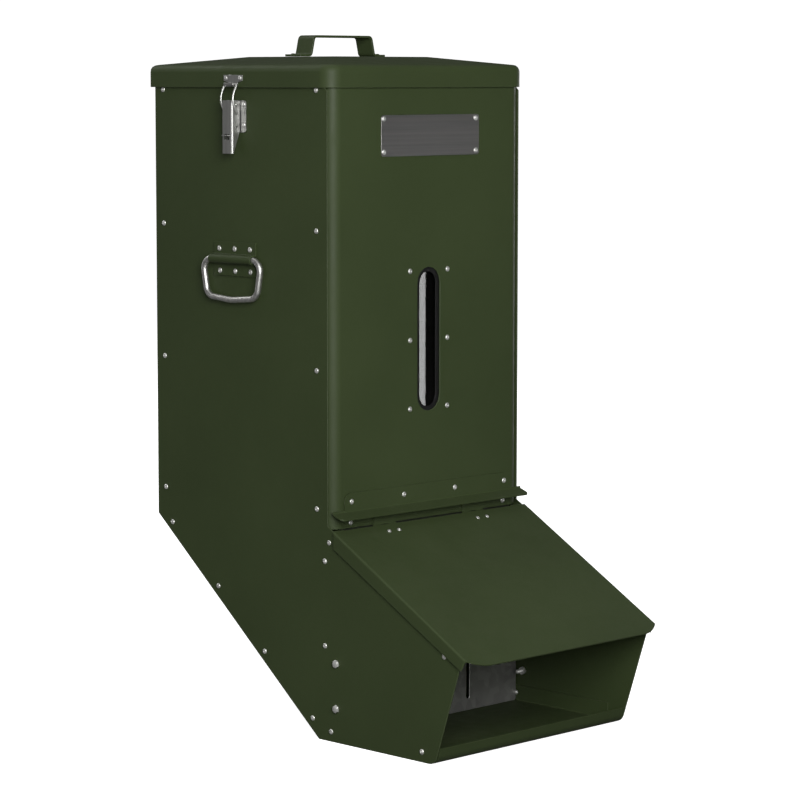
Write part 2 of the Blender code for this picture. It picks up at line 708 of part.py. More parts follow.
def hood():
    """Sloping rain cover with a flange down each side and rounded front corners."""
    depth = -HOOD_FLANGE_REAR
    points = [(HOOD_HALF, depth), (HOOD_HALF, 0), (-HOOD_HALF, 0), (-HOOD_HALF, depth)]
    section = folded(points, [HOOD_BEND] * 2, SHEET)
    cover = add("hood", solid(section, down_hood, 0, HOOD_LENGTH), PAINT, (0, *hinge_pivot()))
    straight = HOOD_HALF - HOOD_CORNER_WIDTH
    sweep = math.asin(HOOD_CORNER_WIDTH / HOOD_CORNER_RADIUS)
    arc = []
    for step in range(HOOD_CORNER_STEPS + 1):
        turn = sweep * step / HOOD_CORNER_STEPS
        down = HOOD_LENGTH - HOOD_CORNER_RADIUS * (1 - math.cos(turn))
        arc.append((straight + HOOD_CORNER_RADIUS * math.sin(turn), down))
    flange_end = arc[-1][1]
    far = HOOD_LENGTH + BEND
    outer = HOOD_HALF + BEND
    corner = [(straight, far)] + arc + [(outer, flange_end), (outer, far)]
    plumb = math.tan(HOOD_ANGLE)
    under = -HOOD_BEND - GAP
    trim = [
        (-BEND, under),
        (-under * plumb, under),
        (HOOD_FLANGE_REAR * plumb, -HOOD_FLANGE_REAR),
        (flange_end, -HOOD_FLANGE_FRONT),
        (far, -HOOD_FLANGE_FRONT),
        (far, 2 * depth),
        (-BEND, 2 * depth),
    ]
    cutters = []
    for side in (-1, 1):
        outline = [(side * x, down) for x, down in corner]
        cutters.append(solid(outline, on_hood, 2 * depth, BEND))
        ends = (side * (HOOD_HALF - HOOD_SIDE_CLEARANCE - SHEET), side * outer)
        cutters.append(solid(trim, hood_edge_on, *ends))
    for number, cut in enumerate(cutters):
        change(cover, cut, "DIFFERENCE", f"hood_trim_{number}")


def lid_ring(mesh, inset, height, flat=False):
    """One level of the lid: a rectangle with wide front corners and tight back corners."""
    half_x = LID_HALF - inset
    front = -LID_FRONT + inset
    back = DEPTH + LID_BACK_OVERHANG - inset
    if flat:
        half_x = LID_FLAT
        front = LID_MIDDLE - LID_FLAT
        back = LID_MIDDLE + LID_FLAT
    front_radius = max(LID_FRONT_CORNER - inset, SHEET)
    back_radius = max(LID_BACK_CORNER - inset, SHEET / 2)
    if flat:
        front_radius = back_radius = SHEET
    points = [(-half_x, front), (half_x, front), (half_x, back), (-half_x, back)]
    radii = [front_radius, front_radius, back_radius, back_radius]
    return [mesh.verts.new((p.x, p.y, height)) for p in rounded(points, radii, LID_CORNER_STEPS)]


def bridge(mesh, first, second):
    """Quads between two rings of as many points."""
    for index in range(len(first)):
        after = (index + 1) % len(first)
        mesh.faces.new((first[index], first[after], second[after], second[index]))


def lid_shell():
    """Pan lid: a straight skirt, a rolled rim and a low crown up to a flat square."""
    mesh = bmesh.new()
    turns = [math.pi / 2 * step / LID_BEND_STEPS for step in range(1, LID_BEND_STEPS + 1)]
    springing = LID_RIM - LID_BEND
    faces = []
    for depth in (0.0, SHEET):
        radius = LID_BEND - depth
        rings = [lid_ring(mesh, depth, LID_SKIRT_BOTTOM), lid_ring(mesh, depth, springing)]
        for turn in turns:
            inset = LID_BEND - radius * math.cos(turn)
            rings.append(lid_ring(mesh, inset, springing + radius * math.sin(turn)))
        rings.append(lid_ring(mesh, 0, LID_TOP - depth, flat=True))
        for lower, upper in zip(rings, rings[1:]):
            bridge(mesh, lower, upper)
        mesh.faces.new(rings[-1])
        faces.append(rings[0])
    bridge(mesh, faces[0], faces[1])
    bmesh.ops.recalc_face_normals(mesh, faces=mesh.faces)
    add("lid_shell", mesh, PAINT, (0, LID_MIDDLE, LID_SKIRT_BOTTOM))


def lid_handle():
    """Bent strap on the crown of the lid."""
    base = LID_TOP + GAP
    face = base + HANDLE_STRAP[1]
    top = base + HANDLE_RISE
    half = [(HANDLE_FOOT, face), (HANDLE_LEG, face), (HANDLE_SHOULDER, top)]
    points = half + [(-x, z) for x, z in half[::-1]]
    radii = [HANDLE_FOOT_BEND, HANDLE_BEND, HANDLE_BEND, HANDLE_FOOT_BEND]
    section = folded(points, radii, HANDLE_STRAP[1], HANDLE_STEPS)
    low = HANDLE_DEPTH - HANDLE_STRAP[0] / 2
    mesh = solid(section, along_y, low, low + HANDLE_STRAP[0])
    add("lid_handle", mesh, PAINT, (0, LID_MIDDLE, LID_SKIRT_BOTTOM))


def keeper(name):
    """Catch on the lid's skirt: a riveted plate whose tongue curls up into a hook."""
    side = side_of(name)
    place = lambda a, b, t: beside(side, a, t, b)
    wall = LID_HALF - OUTER_X + GAP
    out, _ = LATCH_PIVOT
    bar = LATCH_PIVOT[1] - BAIL_DROP + BAIL_LENGTH
    bottom = bar - BAIL_WIRE - GAP - LATCH_SHEET
    lip = out + BAIL_WIRE + KEEPER_HOOK + LATCH_SHEET
    points = [(wall, bottom + KEEPER_PLATE[1]), (wall, bottom), (lip, bottom), (lip, bar + KEEPER_LIP)]
    section = folded(points, [KEEPER_BEND] * 2, LATCH_SHEET)
    low = LATCH_DEPTH - KEEPER_PLATE[0] / 2
    high = LATCH_DEPTH + KEEPER_PLATE[0] / 2
    pivot = (0, LID_MIDDLE, LID_SKIRT_BOTTOM)
    catch = add(name + "_latch_keeper", solid(section, place, low, high), ZINC, pivot)
    cutters = []
    for hand in (-1, 1):
        tongue = LATCH_DEPTH + hand * KEEPER_TONGUE / 2
        edge = LATCH_DEPTH + hand * (KEEPER_PLATE[0] / 2 + BEND)
        level = bottom + KEEPER_TONGUE_TOP
        outline = [(tongue, bottom - BEND), (edge, bottom - BEND), (edge, level + BEND), (tongue, level)]
        across = lambda a, b, t: beside(side, t, a, b)
        cutters.append(solid(outline, across, wall - GAP, lip + BEND))
    for hand, cut in zip(("front", "back"), cutters):
        change(catch, cut, "DIFFERENCE", f"{name}_keeper_{hand}")


def latch_base(name):
    """Riveted plate with two ears for the lever's pin and a staple for a padlock."""
    side = side_of(name)
    flat = lambda a, b, t: beside(side, t, a, b)
    edge_on = lambda a, b, t: beside(side, a, t, b)
    centre = (LATCH_DEPTH, LATCH_PLATE_TOP - LATCH_PLATE[1] / 2)
    face = GAP + LATCH_SHEET
    plate = box_outline(centre, LATCH_PLATE, PLATE_CORNER)
    base = add(name + "_latch_base", solid(plate, flat, GAP, face), ZINC)
    out, height = LATCH_PIVOT
    ear = [
        (face - GAP, height + LATCH_EAR_FOOT[0]),
        (out + LATCH_EAR, height + LATCH_EAR_TIP[0]),
        (out + LATCH_EAR, height + LATCH_EAR_TIP[1]),
        (face - GAP, height + LATCH_EAR_FOOT[1]),
    ]
    ear = rounded(ear, [0, LATCH_EAR, LATCH_EAR, 0])
    outer = LEVER_WIDTH / 2 - LATCH_SHEET - GAP
    for hand, word in ((-1, "front"), (1, "back")):
        ends = (LATCH_DEPTH + hand * outer, LATCH_DEPTH + hand * (outer - LATCH_SHEET))
        change(base, solid(ear, edge_on, *ends), "UNION", f"{name}_{word}_ear")
    top = LATCH_PLATE_TOP - LATCH_PLATE[1] + 2 * BEND
    path = [(GAP, top), (GAP, STAPLE_HEIGHT), (STAPLE_REACH, STAPLE_HEIGHT)]
    staple = folded(path, [BEND], LATCH_SHEET)
    ends = (LATCH_DEPTH - STAPLE_WIDTH / 2, LATCH_DEPTH + STAPLE_WIDTH / 2)
    change(base, solid(staple, edge_on, *ends), "UNION", name + "_staple")
    hole = circle(LATCH_PIVOT, LATCH_PIN + GAP)
    bore = solid(hole, edge_on, LATCH_DEPTH - LEVER_WIDTH, LATCH_DEPTH + LEVER_WIDTH)
    change(base, bore, "DIFFERENCE", name + "_ear_bore")
    eye_x = side * (OUTER_X + STAPLE_REACH - 2 * STAPLE_EYE)
    ends = (STAPLE_HEIGHT - BEND, STAPLE_HEIGHT + BEND)
    eye = solid(circle((eye_x, LATCH_DEPTH), STAPLE_EYE), along_z, *ends)
    change(base, eye, "DIFFERENCE", name + "_staple_eye")
    half = LEVER_WIDTH / 2 + GAP
    pin = solid(circle(LATCH_PIVOT, LATCH_PIN), edge_on, LATCH_DEPTH - half, LATCH_DEPTH + half)
    add(name + "_latch_pin", pin, ZINC)


def latch_lever(name):
    """Channel that pulls the bail down. Its sides taper away at the finger end."""
    side = side_of(name)
    edge_on = lambda a, b, t: beside(side, a, t, b)
    flat = lambda a, b, t: beside(side, t, a, b)
    upright = lambda a, b, t: beside(side, b, a, t)
    low = LATCH_DEPTH - LEVER_WIDTH / 2
    high = LATCH_DEPTH + LEVER_WIDTH / 2
    points = [(low, LEVER_FOOT), (low, LEVER_FACE), (high, LEVER_FACE), (high, LEVER_FOOT)]
    section = folded(points, [LEVER_BEND] * 2, -LATCH_SHEET)
    out, height = LATCH_PIVOT
    pivot = beside(side, out, LATCH_DEPTH, height)
    channel = solid(section, upright, LEVER_BOTTOM, LATCH_PLATE_TOP)
    lever = add(name + "_latch_lever", channel, ZINC, pivot)
    ends = (low - BEND, high + BEND)
    taper = [
        (LEVER_FOOT - BEND, LEVER_TAPER_TOP),
        (LEVER_FOOT, LEVER_TAPER_TOP),
        (LEVER_TAPER_REACH, LEVER_BOTTOM + LATCH_SHEET),
        (LEVER_TAPER_REACH, LEVER_BOTTOM - BEND),
        (LEVER_FOOT - BEND, LEVER_BOTTOM - BEND),
    ]
    corner = Vector((LEVER_FOOT, LATCH_PLATE_TOP))
    below = corner - Vector((0, 4 * BEND))
    beyond = corner + Vector((4 * BEND, 0))
    arc = [point for point, _ in fillet(below, corner, beyond, out - LEVER_FOOT, ARC_STEPS)]
    top = LATCH_PLATE_TOP + BEND
    heel = [(LEVER_FOOT - BEND, arc[0].y)] + arc + [(arc[-1].x, top), (LEVER_FOOT - BEND, top)]
    change(lever, solid(taper, edge_on, *ends), "DIFFERENCE", name + "_lever_taper")
    change(lever, solid(heel, edge_on, *ends), "DIFFERENCE", name + "_lever_heel")
    holes = [
        solid(circle(LATCH_PIVOT, LATCH_PIN + GAP), edge_on, *ends),
        solid(circle((out, height - BAIL_DROP), BAIL_WIRE + GAP), edge_on, *ends),
        solid(circle((out, height - LEVER_EYE_DROP), BAIL_WIRE), edge_on, *ends),
    ]
    change(lever, joined(holes), "DIFFERENCE", name + "_lever_bores")
    slot_top = STAPLE_HEIGHT + LATCH_SHEET + 3 * GAP
    slot = box_outline((LATCH_DEPTH, slot_top - LEVER_SLOT[1] / 2), LEVER_SLOT, LATCH_SHEET)
    through = solid(slot, flat, LEVER_FACE - BEND, LEVER_FACE + BEND)
    change(lever, through, "DIFFERENCE", name + "_lever_slot")


def latch_bail(name):
    """Bowed wire loop from the lever up to the keeper's hook."""
    side = side_of(name)
    out, height = LATCH_PIVOT
    foot = height - BAIL_DROP
    half = LEVER_WIDTH / 2 + GAP + BAIL_WIRE
    first = Vector((half, 0))
    last = Vector((half, BAIL_LENGTH))
    leg = [Vector((BAIL_END, 0))]
    leg += [point for point, _ in fillet(leg[0], first, last, BAIL_CORNER, ARC_STEPS)]
    leg += [first.lerp(last, step / BAIL_STEPS) for step in range(1, BAIL_STEPS)]
    leg += [point for point, _ in fillet(first, last, Vector((0, last.y)), BAIL_CORNER, ARC_STEPS)]
    points = []
    for hand, run in ((-1, leg), (1, leg[::-1])):
        for y, rise in run:
            bow = BAIL_BOW * math.sin(math.pi * rise / BAIL_LENGTH)
            points.append(beside(side, out + bow, LATCH_DEPTH + hand * y, foot + rise))
    pivot = beside(side, out, LATCH_DEPTH, foot)
    tube(name + "_latch_bail", points, BAIL_WIRE, ZINC, pivot, False)


def handle_bracket(name):
    """Strap bent over the ring's top bar and riveted above and below it."""
    side = side_of(name)
    edge_on = lambda a, b, t: beside(side, a, t, b)
    out, axis = RING_AXIS
    inner = RING_WIRE + GAP
    crest = out + inner
    points = [
        (GAP, axis - BRACKET_REACH),
        (GAP, axis - inner),
        (crest, axis - inner),
        (crest, axis + inner),
        (GAP, axis + inner),
        (GAP, axis + BRACKET_REACH),
    ]
    radii = [BRACKET_BEND, BRACKET_CROWN, BRACKET_CROWN, BRACKET_BEND]
    section = folded(points, radii, -SHEET, HANDLE_STEPS)
    low = RING_DEPTH - BRACKET_HALF
    add(name + "_handle_bracket", solid(section, edge_on, low, low + 2 * BRACKET_HALF), PAINT)


def ring_handle(name):
    """Closed ring of round bar that hangs from its bracket."""
    side = side_of(name)
    out, axis = RING_AXIS
    bottom = axis - RING_DROP
    points = [
        (-RING_TOP_HALF, axis),
        (RING_TOP_HALF, axis),
        (RING_BOTTOM_HALF, bottom),
        (0, bottom - RING_SAG),
        (-RING_BOTTOM_HALF, bottom),
    ]
    radii = [RING_CORNER, RING_CORNER, RING_CORNER, 2 * RING_TOP_HALF, RING_CORNER]
    path = rounded(points, radii, HANDLE_STEPS)
    pivot = beside(side, out, RING_DEPTH, axis)
    ring = [beside(side, out, RING_DEPTH + p[0], p[1]) for p in path]
    tube(name + "_ring_handle", ring, RING_WIRE, ZINC, pivot, True)


for thing in list(bpy.data.objects):
    bpy.data.objects.remove(thing, do_unlink=True)

FRAME = bpy.data.objects.new("frame", None)
bpy.context.scene.collection.objects.link(FRAME)
FRAME.location = (0, -DEPTH, -MOUNT_HEIGHT)

PAINT = material("olive_paint", (0.035, 0.047, 0.022), 0.5, 0.0)
ZINC = material("zinc_plate", (0.42, 0.42, 0.41), 0.35, 1.0)
BLACK = material("black_plate", (0.012, 0.012, 0.012), 0.5, 0.0)
CLEAR = material("clear_pane", (0.5, 0.52, 0.53), 0.1, 0.0)

front_panel()
back_panel()
slope_panel()
feed_tray()
rain_lip()
window()
badge_plate()
feed_gate()
hood()
lid_shell()
lid_handle()
for hand in ("left", "right"):
    side_panel(hand)
    gate_guide(hand)
    hood_rail(hand)
    cheek_bolts(hand)
    hood_hinge(hand)
    keeper(hand)
    latch_base(hand)
    latch_lever(hand)
    latch_bail(hand)
    handle_bracket(hand)
    ring_handle(hand)
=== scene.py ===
"""Looks of the gravity feeder: olive powder-coated sheet steel, zinc-plated latches, bright
rivets and a recessed sight window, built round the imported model, in metres and in its frame.
"""

import json
import math

import bmesh
import bpy
import numpy as np
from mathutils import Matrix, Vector


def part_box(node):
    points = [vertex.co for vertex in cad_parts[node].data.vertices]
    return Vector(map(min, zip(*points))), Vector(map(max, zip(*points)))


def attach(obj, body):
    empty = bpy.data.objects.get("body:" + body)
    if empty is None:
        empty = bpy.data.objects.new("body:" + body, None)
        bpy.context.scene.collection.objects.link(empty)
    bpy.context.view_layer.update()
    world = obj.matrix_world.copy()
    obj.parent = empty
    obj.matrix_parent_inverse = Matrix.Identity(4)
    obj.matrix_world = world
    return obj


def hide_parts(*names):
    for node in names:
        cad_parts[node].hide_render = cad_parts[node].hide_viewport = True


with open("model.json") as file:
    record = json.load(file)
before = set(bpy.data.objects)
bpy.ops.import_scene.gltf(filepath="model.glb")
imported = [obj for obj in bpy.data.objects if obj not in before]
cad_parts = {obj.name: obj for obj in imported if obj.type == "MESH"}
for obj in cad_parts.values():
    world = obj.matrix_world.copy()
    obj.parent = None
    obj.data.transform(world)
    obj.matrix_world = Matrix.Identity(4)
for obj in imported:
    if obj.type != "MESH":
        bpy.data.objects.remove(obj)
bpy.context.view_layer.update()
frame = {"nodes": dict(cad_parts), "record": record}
nodes = frame["nodes"]
node_body = {n: b for b, members in frame["record"]["behaviour"]["bodies"].items() for n in members}

# Painted sheet steel. Every folded panel is 1.5 mm sheet, cut and bent, then
# powder coated in one matt olive. The coat has a fine orange peel, thins on
# the cut edges and keeps a little dust on faces that look up.

PAINTED = [
    "left_side_panel", "right_side_panel", "front_panel", "back_panel", "slope_panel", "feed_tray",
    "rain_lip", "left_hood_rail", "right_hood_rail", "hood", "lid_shell", "lid_handle",
    "left_handle_bracket", "right_handle_bracket", "left_hinge_fixed_leaf",
    "right_hinge_fixed_leaf", "left_hinge_hood_leaf", "right_hinge_hood_leaf",
]
OLIVE_DEEP = (0.0330, 0.0480, 0.0168)
OLIVE_PALE = (0.0440, 0.0620, 0.0232)
OLIVE_RUBBED = (0.060, 0.078, 0.036)
CHIPPED_STEEL = (0.22, 0.21, 0.19)
FEED_DUST = (0.155, 0.145, 0.105)
OUTSIDE_DUST = 0.03
TRAY_DUST = 0.10
EDGE_DUST = 0.1
EDGE_WEAR_AMOUNT = 0.62
PAINT_ROUND = 0.00032
SAME_POINT = 0.000002
SAME_PLANE = math.radians(0.4)
SHARP_BEND = math.radians(28)


def start_group(name, inputs, outputs):
    """A shader node group with named float or colour inputs and outputs, and its two end nodes."""
    group = bpy.data.node_groups.new(name, "ShaderNodeTree")
    for label, kind, value in inputs:
        socket = group.interface.new_socket(name=label, in_out="INPUT", socket_type=kind)
        socket.default_value = value
    for label, kind in outputs:
        group.interface.new_socket(name=label, in_out="OUTPUT", socket_type=kind)
    return group, group.nodes.new("NodeGroupInput"), group.nodes.new("NodeGroupOutput")


def noise(tree, vector, scale, detail=3.0, rough=0.55):
    """A noise texture of a given scale in waves per metre."""
    node = tree.nodes.new("ShaderNodeTexNoise")
    node.inputs["Scale"].default_value = scale
    node.inputs["Detail"].default_value = detail
    node.inputs["Roughness"].default_value = rough
    tree.links.new(vector, node.inputs["Vector"])
    return node.outputs["Fac"]


def ramp(tree, value, low, high, start=0.0, end=1.0):
    """A value mapped from low..high to start..end, and held at the ends."""
    node = tree.nodes.new("ShaderNodeMapRange")
    node.inputs["From Min"].default_value = low
    node.inputs["From Max"].default_value = high
    node.inputs["To Min"].default_value = start
    node.inputs["To Max"].default_value = end
    tree.links.new(value, node.inputs["Value"])
    return node.outputs["Result"]


def combine(tree, kind, first, second):
    """Two values or sockets put together by one step of arithmetic."""
    node = tree.nodes.new("ShaderNodeMath")
    node.operation = kind
    for socket, value in zip(node.inputs, (first, second)):
        if isinstance(value, (int, float)):
            socket.default_value = value
        else:
            tree.links.new(value, socket)
    return node.outputs["Value"]


def blend_colour(tree, factor, first, second):
    """A colour between two others, each a fixed colour or a socket."""
    node = tree.nodes.new("ShaderNodeMix")
    node.data_type = "RGBA"
    tree.links.new(factor, node.inputs[0])
    for socket, value in ((node.inputs[6], first), (node.inputs[7], second)):
        if isinstance(value, tuple):
            socket.default_value = (*value, 1.0)
        else:
            tree.links.new(value, socket)
    return node.outputs[2]


def powder_coat_group():
    """Powder coat: peel is two noises added, the colour leans between two olives by a broad noise
    and a speckle, and dust is the upward part of the surface normal times a patchy noise."""
    tree, ends_in, ends_out = start_group(
        "powder_coat",
        [
            ("Position", "NodeSocketVector", (0, 0, 0)),
            ("Deep", "NodeSocketColor", (0, 0, 0, 1)),
            ("Pale", "NodeSocketColor", (0, 0, 0, 1)),
            ("Dust", "NodeSocketFloat", 0.2),
        ],
        [("Colour", "NodeSocketColor"), ("Roughness", "NodeSocketFloat"), ("Peel", "NodeSocketFloat")],
    )
    position = ends_in.outputs["Position"]
    cloud_waves, speckle_waves, dust_waves, sheen_waves = 5.0, 1400.0, 38.0, 60.0
    peel_waves, fine_peel_waves = 620.0, 2100.0
    smoothest, roughest = 0.50, 0.60
    broad = ramp(tree, noise(tree, position, cloud_waves, 4.0), 0.3, 0.7)
    speckle = ramp(tree, noise(tree, position, speckle_waves, 2.0), 0.35, 0.7, 0.0, 0.35)
    lean = combine(tree, "ADD", combine(tree, "MULTIPLY", broad, 0.65), speckle)
    coat = blend_colour(tree, lean, ends_in.outputs["Deep"], ends_in.outputs["Pale"])
    geometry = tree.nodes.new("ShaderNodeNewGeometry")
    split = tree.nodes.new("ShaderNodeSeparateXYZ")
    tree.links.new(geometry.outputs["Normal"], split.inputs[0])
    upward = ramp(tree, split.outputs["Z"], 0.35, 0.95)
    patch = ramp(tree, noise(tree, position, dust_waves, 6.0, 0.65), 0.42, 0.75)
    dust = combine(tree, "MULTIPLY", combine(tree, "MULTIPLY", upward, patch), ends_in.outputs["Dust"])
    dusty = blend_colour(tree, dust, coat, FEED_DUST)
    tree.links.new(dusty, ends_out.inputs["Colour"])
    rough = ramp(tree, noise(tree, position, sheen_waves, 4.0), 0.3, 0.7, smoothest, roughest)
    rough = combine(tree, "ADD", rough, combine(tree, "MULTIPLY", dust, 0.5))
    tree.links.new(rough, ends_out.inputs["Roughness"])
    wide = noise(tree, position, peel_waves, 2.0, 0.5)
    fine = combine(tree, "MULTIPLY", noise(tree, position, fine_peel_waves, 1.0, 0.5), 0.4)
    tree.links.new(combine(tree, "ADD", wide, fine), ends_out.inputs["Peel"])
    return tree


def edge_wear_group():
    """Wear on an edge: a patchy noise and a fine one, added and cut off by a threshold, so that
    chips gather in places and the rest of the edge is only rubbed smooth."""
    tree, ends_in, ends_out = start_group(
        "edge_wear",
        [("Position", "NodeSocketVector", (0, 0, 0)), ("Amount", "NodeSocketFloat", 0.5)],
        [("Chipped", "NodeSocketFloat"), ("Rubbed", "NodeSocketFloat")],
    )
    position = ends_in.outputs["Position"]
    patch_waves, grit_waves = 9.0, 420.0
    patch = ramp(tree, noise(tree, position, patch_waves, 5.0, 0.6), 0.5, 0.78)
    grit = noise(tree, position, grit_waves, 4.0, 0.7)
    both = combine(tree, "MULTIPLY", combine(tree, "ADD", patch, grit), ends_in.outputs["Amount"])
    tree.links.new(ramp(tree, both, 0.62, 0.72), ends_out.inputs["Chipped"])
    tree.links.new(ramp(tree, grit, 0.35, 0.65), ends_out.inputs["Rubbed"])
    return tree


POWDER_COAT = powder_coat_group()
EDGE_WEAR = edge_wear_group()


def start_material(name):
    """A material with a Principled shader, its object coordinates and its node tree."""
    made = bpy.data.materials.new(name)
    made.use_nodes = True
    tree = made.node_tree
    where = tree.nodes.new("ShaderNodeTexCoord")
    return made, tree, tree.nodes["Principled BSDF"], where.outputs["Object"]


def place_group(tree, group, values):
    """A node group in a material, with its inputs set to values or joined to sockets."""
    node = tree.nodes.new("ShaderNodeGroup")
    node.node_tree = group
    for label, value in values.items():
        socket = node.inputs[label]
        if isinstance(value, (int, float)):
            socket.default_value = value
        elif isinstance(value, tuple):
            socket.default_value = (*value, 1.0)
        else:
            tree.links.new(value, socket)
    return node


def raise_bump(tree, shader, height, strength, distance):
    """A bump from a height, fed to the shader's normal."""
    bump = tree.nodes.new("ShaderNodeBump")
    bump.inputs["Strength"].default_value = strength
    bump.inputs["Distance"].default_value = distance
    tree.links.new(height, bump.inputs["Height"])
    tree.links.new(bump.outputs["Normal"], shader.inputs["Normal"])


def olive_coat(name, dust):
    """The matt olive coat on the faces of a panel."""
    made, tree, shader, position = start_material(name)
    olives = {"Position": position, "Deep": OLIVE_DEEP, "Pale": OLIVE_PALE, "Dust": dust}
    coat = place_group(tree, POWDER_COAT, olives)
    tree.links.new(coat.outputs["Colour"], shader.inputs["Base Color"])
    tree.links.new(coat.outputs["Roughness"], shader.inputs["Roughness"])
    raise_bump(tree, shader, coat.outputs["Peel"], 0.22, 0.0003)
    shader.inputs["Specular IOR Level"].default_value = 0.24
    return made


def olive_edge(name, amount):
    """The coat on cut and folded edges, rubbed smoother and chipped to grey steel in places."""
    made, tree, shader, position = start_material(name)
    olives = {"Position": position, "Deep": OLIVE_DEEP, "Pale": OLIVE_PALE, "Dust": EDGE_DUST}
    coat = place_group(tree, POWDER_COAT, olives)
    wear = place_group(tree, EDGE_WEAR, {"Position": position, "Amount": amount})
    rubbed = blend_colour(tree, wear.outputs["Rubbed"], coat.outputs["Colour"], OLIVE_RUBBED)
    chipped = blend_colour(tree, wear.outputs["Chipped"], rubbed, CHIPPED_STEEL)
    tree.links.new(chipped, shader.inputs["Base Color"])
    rough = combine(tree, "MULTIPLY", wear.outputs["Rubbed"], -0.12)
    tree.links.new(combine(tree, "ADD", rough, coat.outputs["Roughness"]), shader.inputs["Roughness"])
    tree.links.new(wear.outputs["Chipped"], shader.inputs["Metallic"])
    raise_bump(tree, shader, coat.outputs["Peel"], 0.15, 0.0003)
    return made


def soften(node, width, face, edge, joined=True):
    """A node's own shape with its loose triangles merged, and flat ones joined where told, and a
    small round of the given width on every edge sharper than 28 degrees. The round has its own
    material."""
    mesh = bmesh.new()
    mesh.from_mesh(nodes[node].data)
    bmesh.ops.remove_doubles(mesh, verts=mesh.verts, dist=SAME_POINT)
    if joined:
        bmesh.ops.dissolve_limit(mesh, angle_limit=SAME_PLANE, verts=mesh.verts, edges=mesh.edges)
    data = bpy.data.meshes.new(node + "_finished")
    mesh.to_mesh(data)
    mesh.free()
    data.materials.append(face)
    data.materials.append(edge)
    data.polygons.foreach_set("material_index", np.zeros(len(data.polygons), np.int32))
    data.shade_smooth()
    data.set_sharp_from_angle(angle=SHARP_BEND)
    piece = bpy.data.objects.new(node + "_finished", data)
    bpy.context.scene.collection.objects.link(piece)
    round_off = piece.modifiers.new("rounded_edges", "BEVEL")
    round_off.width = width
    round_off.segments = 2
    round_off.limit_method = "ANGLE"
    round_off.angle_limit = SHARP_BEND
    round_off.material = 1
    round_off.loop_slide = False
    round_off.miter_outer = "MITER_ARC"
    even = piece.modifiers.new("flat_faces_stay_flat", "WEIGHTED_NORMAL")
    even.keep_sharp = True
    even.weight = 90
    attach(piece, node_body[node])
    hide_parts(node)
    return piece


coat = olive_coat("olive_powder_coat", OUTSIDE_DUST)
coat_inside = olive_coat("olive_powder_coat_tray", TRAY_DUST)
edge = olive_edge("olive_worn_edge", EDGE_WEAR_AMOUNT)
for node in PAINTED:
    face = coat_inside if node in ("feed_tray", "slope_panel") else coat
    joined = not node.endswith(("hood", "leaf", "bracket", "rain_lip"))
    soften(node, PAINT_ROUND, face, edge, joined)

# Blind rivets of bright aluminium. Each has a low dome with a flat shoulder
# and the snapped stem in a small well, and the bulb that it was pulled to on
# the blind side of the sheet.


def bright_metal(name, colour, rough, spread, grain=None, shade=0.72, metal=1.0):
    """Plated or bare metal: its shade leans with a soft noise down to the given share of its
    colour, and its roughness with that noise and fine scratches. A grain stretches both along the
    way that the metal was brushed, and metal under 1 gives the milky bloom of fresh zinc."""
    made, tree, shader, position = start_material(name)
    along = position
    if grain:
        mapping = tree.nodes.new("ShaderNodeMapping")
        mapping.inputs["Scale"].default_value = grain
        tree.links.new(position, mapping.inputs["Vector"])
        along = mapping.outputs["Vector"]
    soft_waves = 240.0 if grain else 90.0
    scratch_waves = 1500.0
    soft = noise(tree, along, soft_waves, 5.0, 0.65)
    dark = tuple(shade * c for c in colour)
    tint = blend_colour(tree, ramp(tree, soft, 0.35, 0.65), dark, colour)
    tree.links.new(tint, shader.inputs["Base Color"])
    shader.inputs["Metallic"].default_value = metal
    scratches = noise(tree, along, scratch_waves, 3.0, 0.6)
    lean = combine(tree, "MULTIPLY", combine(tree, "ADD", soft, scratches), 0.5)
    uneven = ramp(tree, lean, 0.3, 0.7, rough - spread, rough + spread)
    tree.links.new(uneven, shader.inputs["Roughness"])
    raise_bump(tree, shader, scratches, 0.12, 0.0001)
    return made


def rivet_frames(points, out):
    """Places, the way that the heads face, and two directions square to it and to each other."""
    out = Vector(out).normalized()
    across = out.orthogonal().normalized()
    return np.array(points, float), np.array(out), np.array(across), np.array(out.cross(across))


def turned_copies(name, profile, points, out, turns, material):
    """One profile of radius and height turned about each place: a point is the place, plus the
    radius times the two across directions by cosine and sine, plus the height outwards. The two
    ends of the profile are closed with a flat face."""
    place, out, one, two = rivet_frames(points, out)
    profile = np.array(profile, float)
    angle = np.linspace(0, 2 * np.pi, turns, endpoint=False)
    spoke = np.cos(angle)[:, None] * one + np.sin(angle)[:, None] * two
    ring = profile[:, 0, None, None] * spoke + (profile[:, 1, None] * out)[:, None, :]
    verts = place[:, None, None, :] + ring
    rows = len(profile)
    index = np.arange(len(place) * rows * turns).reshape(len(place), rows, turns)
    after = np.roll(index, -1, axis=2)
    quads = np.stack([index[:, :-1], after[:, :-1], after[:, 1:], index[:, 1:]], axis=-1)
    faces = quads.reshape(-1, 4).tolist() + index[:, 0, ::-1].tolist() + index[:, -1].tolist()
    return finish_surface(name, verts.reshape(-1, 3), faces, material)


def finish_surface(name, verts, faces, material, smooth=40):
    """A mesh object from arrays, with outward faces, shaded smooth but for creases sharper than
    the given angle."""
    data = bpy.data.meshes.new(name)
    data.from_pydata(np.asarray(verts).tolist(), [], faces)
    work = bmesh.new()
    work.from_mesh(data)
    bmesh.ops.recalc_face_normals(work, faces=work.faces)
    work.to_mesh(data)
    work.free()
    data.materials.append(material)
    data.shade_smooth()
    data.set_sharp_from_angle(angle=math.radians(smooth))
    piece = bpy.data.objects.new(name, data)
    bpy.context.scene.collection.objects.link(piece)
    return piece


